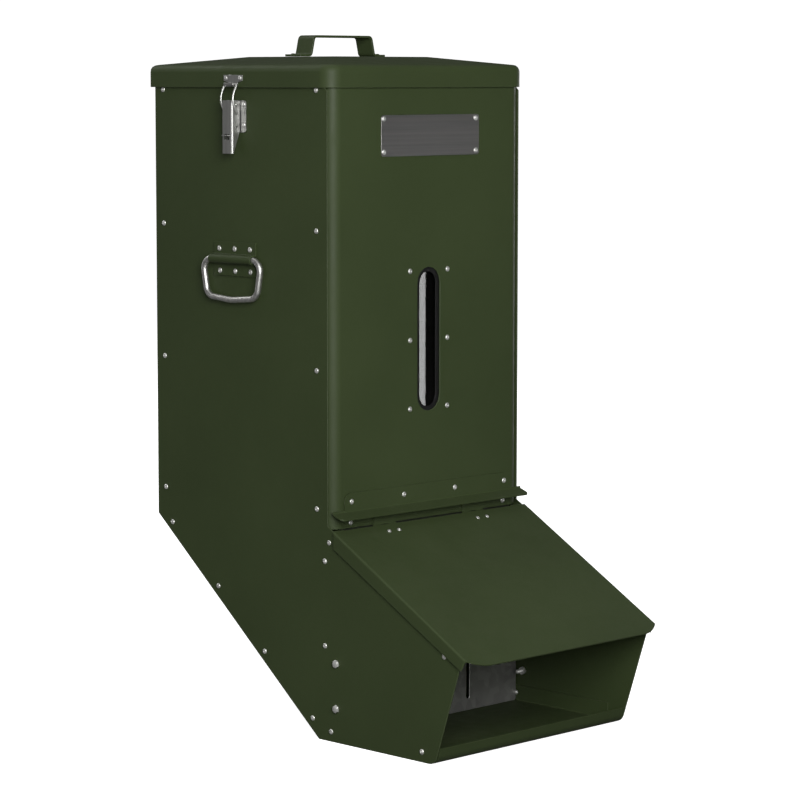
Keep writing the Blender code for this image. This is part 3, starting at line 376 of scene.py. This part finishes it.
def dome(radius, height, well):
    """The profile of a rivet's head: a rim, then a quarter ellipse from the rim to the well by the
    cosine and sine of a quarter turn, and the well with the snapped stem in it."""
    turn = np.linspace(0, np.pi / 2, 6)
    rim = 0.22
    reach = well + (radius - well) * np.cos(turn)
    level = height * (rim + (1 - rim) * np.sin(turn))
    stem = [(well, height * 0.72), (well * 0.9, height * 0.66), (well * 0.55, height * 0.78)]
    return [(radius, 0.0), *zip(reach, level), *stem]


def bulb(radius, length):
    """The profile of a rivet's blind end, from the sheet to its tip."""
    return [
        (radius * 0.62, 0.0), (radius * 0.86, length * 0.18), (radius * 0.92, length * 0.42),
        (radius * 0.80, length * 0.72), (radius * 0.48, length * 0.94), (radius * 0.3, length),
    ]


bright_rivet = bright_metal("bright_rivet", (0.90, 0.90, 0.87), 0.44, 0.05, metal=0.8)
RIVET = 0.00300
LOW_RIVET = RIVET * 0.95
RIVET_HEIGHT = 0.00145
LOW_RIVET_HEIGHT = 0.0009
RIVET_WELL = 0.0009
BLIND_LENGTH = 0.0032
TWO_SHEETS = 0.0036
RIVET_TURNS = 20
side_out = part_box("left_side_panel")[0].x
front_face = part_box("front_panel")[0].y
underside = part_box("feed_tray")[0].z


def at(y, z):
    """Depth behind the front panel's face and height above the tray's underside, in millimetres, in
    the frame of the part."""
    return front_face + y / 1000, underside + z / 1000


corner_columns = [(y, z) for y in (275.8, 21.9) for z in (714.4, 562.0, 409.4, 256.9)]
slope_row = [(264.4, 217.0), (185.5, 151.5), (107.9, 86.3), (29.4, 22.1)]
tray_row = [(0.1, 11.3), (-140.1, 11.6)]
gate_guide_row = [(9.5, 200.3), (9.5, 106.0)]
side_rivets = corner_columns + slope_row + tray_row + gate_guide_row
under_hood = [(2.8, 221.5), (-172.9, 119.1)]
blind_from = -100
for side, sign in (("left", -1), ("right", 1)):
    outer = -side_out * sign
    heads = [(outer, *at(y, z)) for y, z in side_rivets]
    low = [(outer, *at(y, z)) for y, z in under_hood]
    inner = outer - sign * TWO_SHEETS
    blind = [(inner, *at(y, z)) for y, z in side_rivets if y > blind_from]
    for part, places, way, shape in (
        ("heads", heads, sign, dome(RIVET, RIVET_HEIGHT, RIVET_WELL)),
        ("low_heads", low, sign, dome(LOW_RIVET, LOW_RIVET_HEIGHT, RIVET_WELL)),
        ("blind_ends", blind, -sign, bulb(RIVET, BLIND_LENGTH)),
    ):
        name = f"{side}_side_rivet_{part}"
        rivets = turned_copies(name, shape, places, (way, 0, 0), RIVET_TURNS, bright_rivet)
        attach(rivets, "hopper")

panel_face, lip_face, plate_face = 0.0, -1.8, -1.1
window_rivets = [(x, panel_face, z) for x in (-29.8, 29.8) for z in (513.7, 436.4, 359.2)]
gate_rivets = [(x, panel_face, 241.2) for x in (-122.6, 122.6)]
lip_rivets = [(x, lip_face, 264.5) for x in (-122.6, -41.0, 41.0, 122.6)]
plate_rivets = [(x, plate_face, z) for x in (-71.8, 74.5) for z in (682.7, 646.3)]
front_rivets = window_rivets + gate_rivets + lip_rivets + plate_rivets
places = [(x / 1000, *at(y, z)) for x, y, z in front_rivets]
shape = dome(RIVET, RIVET_HEIGHT, RIVET_WELL)
rivets = turned_copies("front_rivet_heads", shape, places, (0, -1, 0), RIVET_TURNS, bright_rivet)
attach(rivets, "hopper")

# Bare plate on the front: 0.8 mm stainless, brushed along its length, with
# rounded corners, held by four rivets.

PLATE_ROUND = 0.00012
brushed_across = (0.012, 1.0, 1.0)
brushed = bright_metal("brushed_plate", (0.50, 0.49, 0.48), 0.38, 0.07, brushed_across, 0.80)
brushed_edge = bright_metal("brushed_plate_edge", (0.55, 0.54, 0.53), 0.3, 0.05)
soften("front_plate", PLATE_ROUND, brushed, brushed_edge)

# Sight window: a black slotted plate behind the slot of the front panel, and
# a clear plastic pane bonded to its back. The hopper behind it is dark.


def black_plate(name):
    """Satin black paint with a faint grain."""
    made, tree, shader, position = start_material(name)
    grain_waves = 900.0
    blackest, worn_black = (0.006, 0.006, 0.006), (0.012, 0.012, 0.012)
    grain = noise(tree, position, grain_waves, 3.0)
    tint = blend_colour(tree, ramp(tree, grain, 0.3, 0.7), blackest, worn_black)
    tree.links.new(tint, shader.inputs["Base Color"])
    tree.links.new(ramp(tree, grain, 0.3, 0.7, 0.36, 0.46), shader.inputs["Roughness"])
    shader.inputs["Specular IOR Level"].default_value = 0.2
    raise_bump(tree, shader, grain, 0.1, 0.0002)
    return made


def clear_pane(name):
    """Clear plastic, faintly hazed by fine dust."""
    made, tree, shader, position = start_material(name)
    haze_waves, haze_rough = 260.0, 0.03
    haze = noise(tree, position, haze_waves, 5.0, 0.7)
    tree.links.new(ramp(tree, haze, 0.45, 0.9, 0.0, haze_rough), shader.inputs["Roughness"])
    shader.inputs["Base Color"].default_value = (0.55, 0.57, 0.57, 1.0)
    shader.inputs["Transmission Weight"].default_value = 1.0
    shader.inputs["IOR"].default_value = 1.46
    return made


RETAINER_ROUND = 0.0003
PANE_ROUND = 0.0002
black = black_plate("black_window_plate")
soften("window_retainer", RETAINER_ROUND, black, black)
pane = clear_pane("clear_window_pane")
soften("window_pane", PANE_ROUND, pane, pane)

# Feed gate and its two guides: galvanised sheet left bare, with the flat
# crystals of the zinc and long scuffs where the gate slides.

# Near black of the painted shade on the sheet above the front panel's lower edge.
PAINTED_SHADE_COLOUR = (0.012, 0.014, 0.009)
ZINC_METAL = 0.75
STREAKED_UP = (1.0, 1.0, 0.03)
GATE_ROUND = 0.00028
PANEL_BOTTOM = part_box("front_panel")[0].z


def galvanised(name, dark, light):
    """Galvanised sheet: cells of zinc crystals, each with its own shade, dulled by a broad noise
    and rubbed in streaks that run up the sheet. A painted shade darkens what lies above the
    front panel's lower edge, where the panel keeps the light off the sheet."""
    made, tree, shader, position = start_material(name)
    crystals_per_metre, cloud_waves, streak_waves = 110.0, 14.0, 500.0
    cells = tree.nodes.new("ShaderNodeTexVoronoi")
    cells.inputs["Scale"].default_value = crystals_per_metre
    tree.links.new(position, cells.inputs["Vector"])
    shade = tree.nodes.new("ShaderNodeRGBToBW")
    tree.links.new(cells.outputs["Color"], shade.inputs[0])
    broad = noise(tree, position, cloud_waves, 5.0)
    mapping = tree.nodes.new("ShaderNodeMapping")
    mapping.inputs["Scale"].default_value = STREAKED_UP
    tree.links.new(position, mapping.inputs["Vector"])
    streak = noise(tree, mapping.outputs["Vector"], streak_waves, 3.0)
    crystal_share = 0.45
    lean = combine(tree, "MULTIPLY", shade.outputs[0], crystal_share)
    lean = combine(tree, "ADD", lean, combine(tree, "MULTIPLY", broad, 1 - crystal_share))
    tint = blend_colour(tree, ramp(tree, lean, 0.2, 0.75), dark, light)
    apart = tree.nodes.new("ShaderNodeSeparateXYZ")
    tree.links.new(position, apart.inputs[0])
    # Painted shade: above the front panel's lower edge the sheet is painted near black and made not
    # metallic, standing in for the panel's shadow.
    painted_shade = ramp(tree, apart.outputs["Z"], PANEL_BOTTOM - 0.008, PANEL_BOTTOM - 0.002)
    tree.links.new(blend_colour(tree, painted_shade, tint, PAINTED_SHADE_COLOUR), shader.inputs["Base Color"])
    tree.links.new(ramp(tree, painted_shade, 0.0, 1.0, ZINC_METAL, 0.0), shader.inputs["Metallic"])
    lean = combine(tree, "MULTIPLY", combine(tree, "ADD", streak, lean), 0.5)
    tree.links.new(ramp(tree, lean, 0.25, 0.7, 0.36, 0.56), shader.inputs["Roughness"])
    raise_bump(tree, shader, streak, 0.08, 0.0002)
    return made


zinc_sheet = galvanised("galvanised_sheet", (0.31, 0.305, 0.30), (0.44, 0.435, 0.425))
zinc_sheet_edge = galvanised("galvanised_sheet_edge", (0.42, 0.42, 0.42), (0.60, 0.60, 0.59))
for node in ("feed_gate", "left_gate_guide", "right_gate_guide"):
    soften(node, GATE_ROUND, zinc_sheet, zinc_sheet_edge)

# Draw latches, one on each side: pressed from 1.2 mm steel and zinc plated.
# The lever and the catch are brushed along their length, and the bail is a
# bowed spring wire. All turn on a peened pin.

LATCH_ROUND = 0.00022
plated = bright_metal("zinc_plated_steel", (0.46, 0.46, 0.445), 0.46, 0.07, STREAKED_UP, 0.85)
plated_edge = bright_metal("zinc_plated_edge", (0.72, 0.72, 0.70), 0.40, 0.05)
for side in ("left", "right"):
    for part in ("latch_base", "latch_lever", "latch_keeper"):
        soften(f"{side}_{part}", LATCH_ROUND, plated, plated_edge, joined=False)


def rolled_faces(rows, turns, closed):
    """The four-sided faces of a grid that closes on itself round each row. The rows close on
    themselves as well, or else a flat face closes the first row and the last."""
    index = np.arange(rows * turns).reshape(rows, turns)
    after = np.roll(index, -1, axis=1)
    quads = np.stack([index, after, np.roll(after, -1, axis=0), np.roll(index, -1, axis=0)], axis=-1)
    if closed:
        return quads.reshape(-1, 4).tolist()
    return quads[:-1].reshape(-1, 4).tolist() + [index[0, ::-1].tolist(), index[-1].tolist()]


def swept_tube(name, path, radius, turns, material, closed=False):
    """Round bar along a path: a point is the path's point plus the radius times a direction across
    the path, which turns by cosine and sine between two directions square to the path. The first
    is square to X as well, so the bar never twists."""
    path = np.array(path, float)
    step = np.roll(path, -1, axis=0) - np.roll(path, 1, axis=0)
    if not closed:
        step[0] = path[1] - path[0]
        step[-1] = path[-1] - path[-2]
    run = step / np.linalg.norm(step, axis=1)[:, None]
    one = np.cross(run, np.array([1.0, 0.0, 0.0]))
    one /= np.linalg.norm(one, axis=1)[:, None]
    two = np.cross(run, one)
    angle = np.linspace(0, 2 * np.pi, turns, endpoint=False)
    across = np.cos(angle)[:, None] * one[:, None, :] + np.sin(angle)[:, None] * two[:, None, :]
    verts = path[:, None, :] + radius * across
    faces = rolled_faces(len(path), turns, closed)
    return finish_surface(name, verts.reshape(-1, 3), faces, material, 50)


def round_corners(corners, radii, steps, closed):
    """A path with each corner replaced by an arc: the arc's centre lies on the corner's bisector,
    and its points turn evenly from one straight run to the next. An open path keeps its ends."""
    corners = [np.array(c, float) for c in corners]
    out = []
    count = len(corners)
    for k, corner in enumerate(corners):
        if not closed and k in (0, count - 1):
            out.append(corner[None])
            continue
        back = corners[k - 1] - corner
        ahead = corners[(k + 1) % count] - corner
        back, ahead = back / np.linalg.norm(back), ahead / np.linalg.norm(ahead)
        half = math.acos(float(np.clip(back @ ahead, -1, 1))) / 2
        middle = (back + ahead) / np.linalg.norm(back + ahead)
        centre = corner + middle * radii[k] / math.sin(half)
        start = corner + back * radii[k] / math.tan(half) - centre
        end = corner + ahead * radii[k] / math.tan(half) - centre
        whole = math.pi - 2 * half
        t = np.linspace(0, 1, steps)[:, None]
        swing = np.sin((1 - t) * whole) * start + np.sin(t * whole) * end
        out.append(centre + swing / math.sin(whole))
    return np.concatenate(out)


def divide_legs(path, parts, long_run):
    """A path with each run that climbs more than long_run divided into equal parts, so that the
    long legs can be bowed."""
    shares = np.linspace(0, 1, parts + 1)[:-1, None]
    runs = zip(path[:-1], path[1:])
    divided = [a + (b - a) * shares if abs(b[2] - a[2]) > long_run else a[None] for a, b in runs]
    return np.concatenate([*divided, path[-1:]])


wire = bright_metal("plated_wire", (0.86, 0.86, 0.83), 0.42, 0.04)
BAIL_WIRE = 0.0011
BAIL_OFF_SIDE = 0.0075
BAIL_FOOT = 0.0060
BAIL_CORNER = 0.0014
BAIL_BOW = 0.0065
PLATE_OFF_SHEET = 0.0015
LID_OFF_SIDE = 0.0035
SMALL_RIVET = dome(0.0024, 0.0011, 0.0008)
SMALL_TURNS = 18


def peened_rod(radius, length, end, bevel):
    """The profile of a pin with an upset at both ends: end and bevel are shares of its radius."""
    return [
        (radius * end, 0.0), (radius, radius * bevel), (radius, length - radius * bevel),
        (radius * end, length),
    ]


for side, sign in (("left", -1), ("right", 1)):
    low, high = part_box(f"{side}_latch_bail")
    foot = low.z + BAIL_WIRE
    top = high.z - BAIL_WIRE
    middle = (low.y + high.y) / 2
    half = (high.y - low.y) / 2 - BAIL_WIRE
    rise = top - foot
    outer = -side_out * sign
    pivot = outer + sign * BAIL_OFF_SIDE
    corners = [
        (0, BAIL_FOOT, 0), (0, half, 0), (0, half, rise),
        (0, -half, rise), (0, -half, 0), (0, -BAIL_FOOT, 0),
    ]
    path = round_corners(corners, [0, BAIL_CORNER, BAIL_CORNER, BAIL_CORNER, BAIL_CORNER, 0], 7, False)
    path = divide_legs(path, 14, 0.01)
    bow = BAIL_BOW * np.sin(np.pi * path[:, 2] / rise)
    bail_path = np.stack([pivot + sign * bow, middle + path[:, 1], foot + path[:, 2]], axis=1)
    bail = swept_tube(f"{side}_bail_wire", bail_path, BAIL_WIRE, 16, wire)
    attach(bail, f"{side}_bail")
    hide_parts(f"{side}_latch_bail")
    low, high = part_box(f"{side}_latch_pin")
    radius = (high.z - low.z) / 2
    shape = peened_rod(radius, high.y - low.y, 0.7, 0.25)
    centre = ((low.x + high.x) / 2, low.y, (low.z + high.z) / 2)
    pin = turned_copies(f"{side}_peened_pin", shape, [centre], (0, 1, 0), RIVET_TURNS, wire)
    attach(pin, "hopper")
    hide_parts(f"{side}_latch_pin")
    way = (sign, 0, 0)
    base_face = outer + sign * PLATE_OFF_SHEET
    places = [(base_face, *at(y, z)) for y in (137.2, 164.8) for z in (698.2, 675.6)]
    name = f"{side}_latch_rivets"
    base_rivets = turned_copies(name, SMALL_RIVET, places, way, SMALL_TURNS, bright_rivet)
    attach(base_rivets, "hopper")
    catch_face = outer + sign * (LID_OFF_SIDE + PLATE_OFF_SHEET)
    places = [(catch_face, *at(y, 727.4)) for y in (162.6, 139.5)]
    name = f"{side}_catch_rivets"
    catch_rivets = turned_copies(name, SMALL_RIVET, places, way, SMALL_TURNS, bright_rivet)
    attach(catch_rivets, "lid")

# Ring handles: 7 mm stainless bar bent to a ring and welded, hanging in a
# painted strap that six rivets hold to the side.

drawn_along = (0.05, 1.0, 1.0)
satin_bar = bright_metal("satin_bar", (0.74, 0.73, 0.71), 0.43, 0.05, drawn_along)
BAR = 0.0035
RING_OFF_SIDE = 0.006
RING_TOP_HALF = 0.0492
RING_LOW_HALF = 0.0410
RING_SHOULDER = 0.0423
RING_DROP = 0.0458
RING_CORNER = 0.0125
RING_SAG_RADIUS = 0.0984
STRAP_FACE = 0.0018
STRAP_RIVET = dome(0.0030, 0.0014, 0.0009)
for side, sign in (("left", -1), ("right", 1)):
    outer = -side_out * sign
    out = outer + sign * RING_OFF_SIDE
    y0, z0 = at(153.0, 526.0)
    corners = [
        (out, y0 - RING_TOP_HALF, z0), (out, y0 + RING_TOP_HALF, z0),
        (out, y0 + RING_LOW_HALF, z0 - RING_SHOULDER), (out, y0, z0 - RING_DROP),
        (out, y0 - RING_LOW_HALF, z0 - RING_SHOULDER),
    ]
    radii = [RING_CORNER, RING_CORNER, RING_CORNER, RING_SAG_RADIUS, RING_CORNER]
    path = round_corners(corners, radii, 13, True)
    ring = swept_tube(f"{side}_ring_bar", path, BAR, 24, satin_bar, closed=True)
    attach(ring, f"{side}_ring")
    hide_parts(f"{side}_ring_handle")
    strap = outer + sign * STRAP_FACE
    places = [(strap, *at(y, 537.2)) for y in (178.4, 153.0, 127.6)]
    places += [(strap, *at(y, 512.4)) for y in (177.4, 152.0, 126.6)]
    name = f"{side}_strap_rivets"
    strap_rivets = turned_copies(name, STRAP_RIVET, places, (sign, 0, 0), RIVET_TURNS, bright_rivet)
    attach(strap_rivets, "hopper")

# Lid handle: a flat strap bent to a bridge, two painted rivets through each foot.
# Hood hinges: a steel pin in rolled knuckles, two rivets through each leaf.

HANDLE_STRAP = 0.0025
FOOT_RIVET = dome(0.0026, 0.0010, 0.0008)
HINGE_RIVET = dome(0.0024, 0.0010, 0.0008)
low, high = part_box("lid_handle")
strap_top = low.z + HANDLE_STRAP
foot_y = (low.y + high.y) / 2
places = [(x, foot_y + y, strap_top) for x in (-0.0605, 0.0605) for y in (-0.0065, 0.0065)]
foot_rivets = turned_copies("lid_handle_rivets", FOOT_RIVET, places, (0, 0, 1), SMALL_TURNS, coat)
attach(foot_rivets, "lid")

HOOD_TILT = math.radians(30)
down = Vector((0, -math.cos(HOOD_TILT), -math.sin(HOOD_TILT)))
lift = Vector((0, -math.sin(HOOD_TILT), math.cos(HOOD_TILT)))
RIVETS_DOWN_HOOD = 0.0118
rear_y, rear_z = at(-6.5, 234.6)
columns = (-0.0789, -0.0636, 0.0636, 0.0789)
places = [Vector((x, rear_y, rear_z)) + down * RIVETS_DOWN_HOOD for x in columns]
name = "hood_hinge_rivets"
hinge_rivets = turned_copies(name, HINGE_RIVET, places, lift, SMALL_TURNS, bright_rivet)
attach(hinge_rivets, "hood")
for side in ("left", "right"):
    low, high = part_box(f"{side}_hinge_pin")
    radius = (high.z - low.z) / 2
    shape = peened_rod(radius, high.x - low.x, 0.6, 0.3)
    centre = (low.x, (low.y + high.y) / 2, (low.z + high.z) / 2)
    pin = turned_copies(f"{side}_turned_hinge_pin", shape, [centre], (1, 0, 0), 16, wire)
    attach(pin, "hopper")
    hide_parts(f"{side}_hinge_pin")

# Hex bolts through the cheeks with a nut inside: M5, zinc plated. The heads
# and nuts are chamfered, and the shank's end is threaded past the nut.


def hexagon_rings(name, levels, flats, centre, way, material, bore=0.0):
    """A hexagon bar with coned ends: at each level the radius is the smaller of the hexagon's own,
    flats over two by the cosine of the angle to the nearest flat, and the cone's. Where there is a
    bore, a last run of rings comes back through it."""
    turns, crease = 48, 30
    angle = np.linspace(0, 2 * np.pi, turns, endpoint=False)
    side_angle = (angle + np.pi / 6) % (np.pi / 3) - np.pi / 6
    hexagon = flats / 2 / np.cos(side_angle)
    rows = [np.minimum(hexagon, cone) for _, cone in levels]
    heights = [h for h, _ in levels]
    if bore:
        rows += [np.full(turns, bore), np.full(turns, bore)]
        heights += [heights[-1], heights[0]]
    radius = np.array(rows)
    height = np.array(heights)
    verts = np.stack(
        [
            centre[0] + way * np.repeat(height[:, None], turns, axis=1),
            centre[1] + radius * np.cos(angle),
            centre[2] + radius * np.sin(angle),
        ],
        axis=-1,
    )
    faces = rolled_faces(len(rows), turns, bool(bore))
    return finish_surface(name, verts.reshape(-1, 3), faces, material, crease)


def threaded_shank(name, length, plain, centre, way, material):
    """A bolt's shank: radius falls by a triangle wave of the thread's depth, whose phase is the
    height over the pitch less the turn, faded in past the plain part and out at the tip."""
    pitch, depth, major, tip_radius, taper = 0.0008, 0.00042, 0.00248, 0.0018, 0.0007
    turns, rows = 24, int(length / pitch * 10)
    angle = np.linspace(0, 2 * np.pi, turns, endpoint=False)
    height = np.linspace(0, length, rows)
    phase = (height[:, None] / pitch - angle / (2 * np.pi)) % 1.0
    wave = 1 - np.abs(2 * phase - 1)
    fade = np.clip((height - plain) / pitch, 0, 1)[:, None]
    radius = major - depth * wave * fade
    tip = np.clip((length - height) / taper, 0, 1)[:, None]
    radius = np.minimum(radius, tip_radius + (major - tip_radius) * tip)
    verts = np.stack(
        [
            centre[0] + way * np.repeat(height[:, None], turns, axis=1),
            centre[1] + radius * np.cos(angle),
            centre[2] + radius * np.sin(angle),
        ],
        axis=-1,
    )
    faces = rolled_faces(rows, turns, False)
    return finish_surface(name, verts.reshape(-1, 3), faces, material, 60)


bolt_metal = bright_metal("zinc_bolt", (0.84, 0.84, 0.81), 0.46, 0.06, metal=0.65)
ACROSS_FLATS = 0.008
HEAD_HEIGHT = 0.0035
PLAIN_SHANK = 0.0022
NUT_BORE = 0.0026
HEAD_LEVELS = [
    (0, 0.0040), (0.0003, 0.0046), (0.0020, 0.0046), (0.0026, 0.0039), (0.0030, 0.0031),
    (0.0033, 0.0021), (HEAD_HEIGHT, 0.0008),
]
NUT_LEVELS = [(0, 0.0040), (0.0005, 0.0046), (0.0035, 0.0046), (0.0040, 0.0040)]
for side, sign in (("left", -1), ("right", 1)):
    for level in ("lower", "upper"):
        low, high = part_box(f"{side}_{level}_bolt")
        centre_y, centre_z = (low.y + high.y) / 2, (low.z + high.z) / 2
        tip, cap = (high.x, low.x) if sign < 0 else (low.x, high.x)
        under = cap - sign * HEAD_HEIGHT
        seat = (under, centre_y, centre_z)
        name = f"{side}_{level}_hex_head"
        head = hexagon_rings(name, HEAD_LEVELS, ACROSS_FLATS, seat, sign, bolt_metal)
        name = f"{side}_{level}_threaded_shank"
        shank = threaded_shank(name, abs(under - tip), PLAIN_SHANK, seat, -sign, bolt_metal)
        for piece in (head, shank):
            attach(piece, "hopper")
        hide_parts(f"{side}_{level}_bolt")
        low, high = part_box(f"{side}_{level}_nut")
        seat = (low.x if sign < 0 else high.x, centre_y, centre_z)
        name = f"{side}_{level}_hex_nut"
        nut = hexagon_rings(name, NUT_LEVELS, ACROSS_FLATS, seat, -sign, bolt_metal, NUT_BORE)
        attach(nut, "hopper")
        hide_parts(f"{side}_{level}_nut")

# Studio: a pale floor that sweeps up all round, one large soft light near the
# camera, a thin tall one to the right that the window catches, four weak ones
# at the other sides and a broad one over the floor.


def sweep_floor(name, floor, flat, rise, height):
    """A floor turned about the vertical: radius runs out flat, then follows a quarter circle up to
    a wall, so that there is no horizon from any side. A small disc closes its middle."""
    turns, flat_rings, centre_hole = 96, 12, 0.02
    out = np.linspace(centre_hole, flat, flat_rings)
    bend = np.linspace(0, np.pi / 2, 16)[1:]
    radius = np.concatenate([out, flat + rise * np.sin(bend), [flat + rise]])
    level = np.concatenate([np.zeros(flat_rings), rise * (1 - np.cos(bend)), [height]])
    angle = np.linspace(0, 2 * np.pi, turns, endpoint=False)
    verts = np.stack(
        [
            radius[:, None] * np.cos(angle),
            radius[:, None] * np.sin(angle),
            floor + np.repeat(level[:, None], turns, axis=1),
        ],
        axis=-1,
    )
    index = np.arange(len(radius) * turns).reshape(len(radius), turns)
    after = np.roll(index, -1, axis=1)
    quads = np.stack([index[:-1], after[:-1], after[1:], index[1:]], axis=-1)
    faces = quads.reshape(-1, 4).tolist() + [index[0, ::-1].tolist()]
    data = bpy.data.meshes.new(name)
    data.from_pydata(verts.reshape(-1, 3).tolist(), [], faces)
    data.shade_smooth()
    piece = bpy.data.objects.new(name, data)
    bpy.context.scene.collection.objects.link(piece)
    return piece


PAPER_WHITE = (0.85, 0.85, 0.85, 1.0)
PAPER_GLOW = 0.93
FAR_WALL = (0.17, 0.17, 0.17, 1.0)


def pale_paper(name):
    """White paper. To the camera it is bright with a soft shadow, and to the object it is a dim
    grey wall, as paper is that stands far outside the lamps' light."""
    made = bpy.data.materials.new(name)
    made.use_nodes = True
    tree = made.node_tree
    tree.nodes.remove(tree.nodes["Principled BSDF"])
    seen = tree.nodes.new("ShaderNodeBsdfDiffuse")
    seen.inputs["Color"].default_value = PAPER_WHITE
    glow = tree.nodes.new("ShaderNodeEmission")
    glow.inputs["Color"].default_value = (1.0, 1.0, 1.0, 1.0)
    glow.inputs["Strength"].default_value = PAPER_GLOW
    bright = tree.nodes.new("ShaderNodeAddShader")
    tree.links.new(seen.outputs[0], bright.inputs[0])
    tree.links.new(glow.outputs[0], bright.inputs[1])
    dim = tree.nodes.new("ShaderNodeBsdfDiffuse")
    dim.inputs["Color"].default_value = FAR_WALL
    path = tree.nodes.new("ShaderNodeLightPath")
    choice = tree.nodes.new("ShaderNodeMixShader")
    tree.links.new(path.outputs["Is Camera Ray"], choice.inputs[0])
    tree.links.new(dim.outputs[0], choice.inputs[1])
    tree.links.new(bright.outputs[0], choice.inputs[2])
    tree.links.new(choice.outputs[0], tree.nodes["Material Output"].inputs["Surface"])
    return made


FLOOR_GAP = 0.0002
floor = sweep_floor("floor", underside - FLOOR_GAP, flat=5.5, rise=2.5, height=7.0)
floor.data.materials.append(pale_paper("pale_paper"))


def softbox(name, centre, aim, size, power):
    """A rectangular light at a place, turned to face a point."""
    data = bpy.data.lights.new(name, "AREA")
    data.shape = "RECTANGLE"
    data.size, data.size_y = size
    data.energy = power
    lamp = bpy.data.objects.new(name, data)
    bpy.context.scene.collection.objects.link(lamp)
    lamp.location = centre
    lamp.rotation_euler = (Vector(aim) - Vector(centre)).to_track_quat("-Z", "Y").to_euler()
    return lamp


middle = Vector((0, -0.2, -0.1))
key_place = middle + Vector((-0.72, -1.0, 0.38)) * 2.3
softbox("key_light", key_place, middle, (1.5, 1.5), 92)
softbox("right_strip", (1.44, -1.75, -0.2), (1.44, 0.0, -0.2), (0.10, 0.55), 0.86)
softbox("left_fill", (-2.6, 2.2, 0.5), middle, (2.2, 2.2), 4.5)
softbox("back_fill", (0.9, 3.8, 0.5), middle, (2.2, 1.6), 30)
softbox("rear_top", (-0.6, 3.4, 2.4), middle, (2.0, 1.6), 28)
softbox("right_fill", (3.8, 0.5, 0.1), middle, (1.6, 1.6), 28)
softbox("floor_wash", (0, 0.9, 4.6), (0, 0.9, -0.5), (5.5, 5.5), 58)

world = bpy.data.worlds.new("studio")
world.use_nodes = True
room_light = world.node_tree.nodes["Background"]
room_light.inputs["Color"].default_value = (1.0, 1.0, 1.0, 1.0)
room_light.inputs["Strength"].default_value = 0.06
bpy.context.scene.world = world
bpy.context.scene.view_settings.view_transform = "Standard"

camera_data = bpy.data.cameras.new("camera")
camera_data.lens = 133.57
camera_data.sensor_width = 36.0
camera_data.shift_x = 0.0188
camera_data.clip_start = 0.05
camera_data.clip_end = 50.0
camera = bpy.data.objects.new("camera", camera_data)
bpy.context.scene.collection.objects.link(camera)
camera.location = (-2.37335, -2.61345, 0.24357)
camera.rotation_euler = (math.radians(83.79), 0.0, math.radians(-44.78))
bpy.context.scene.camera = camera
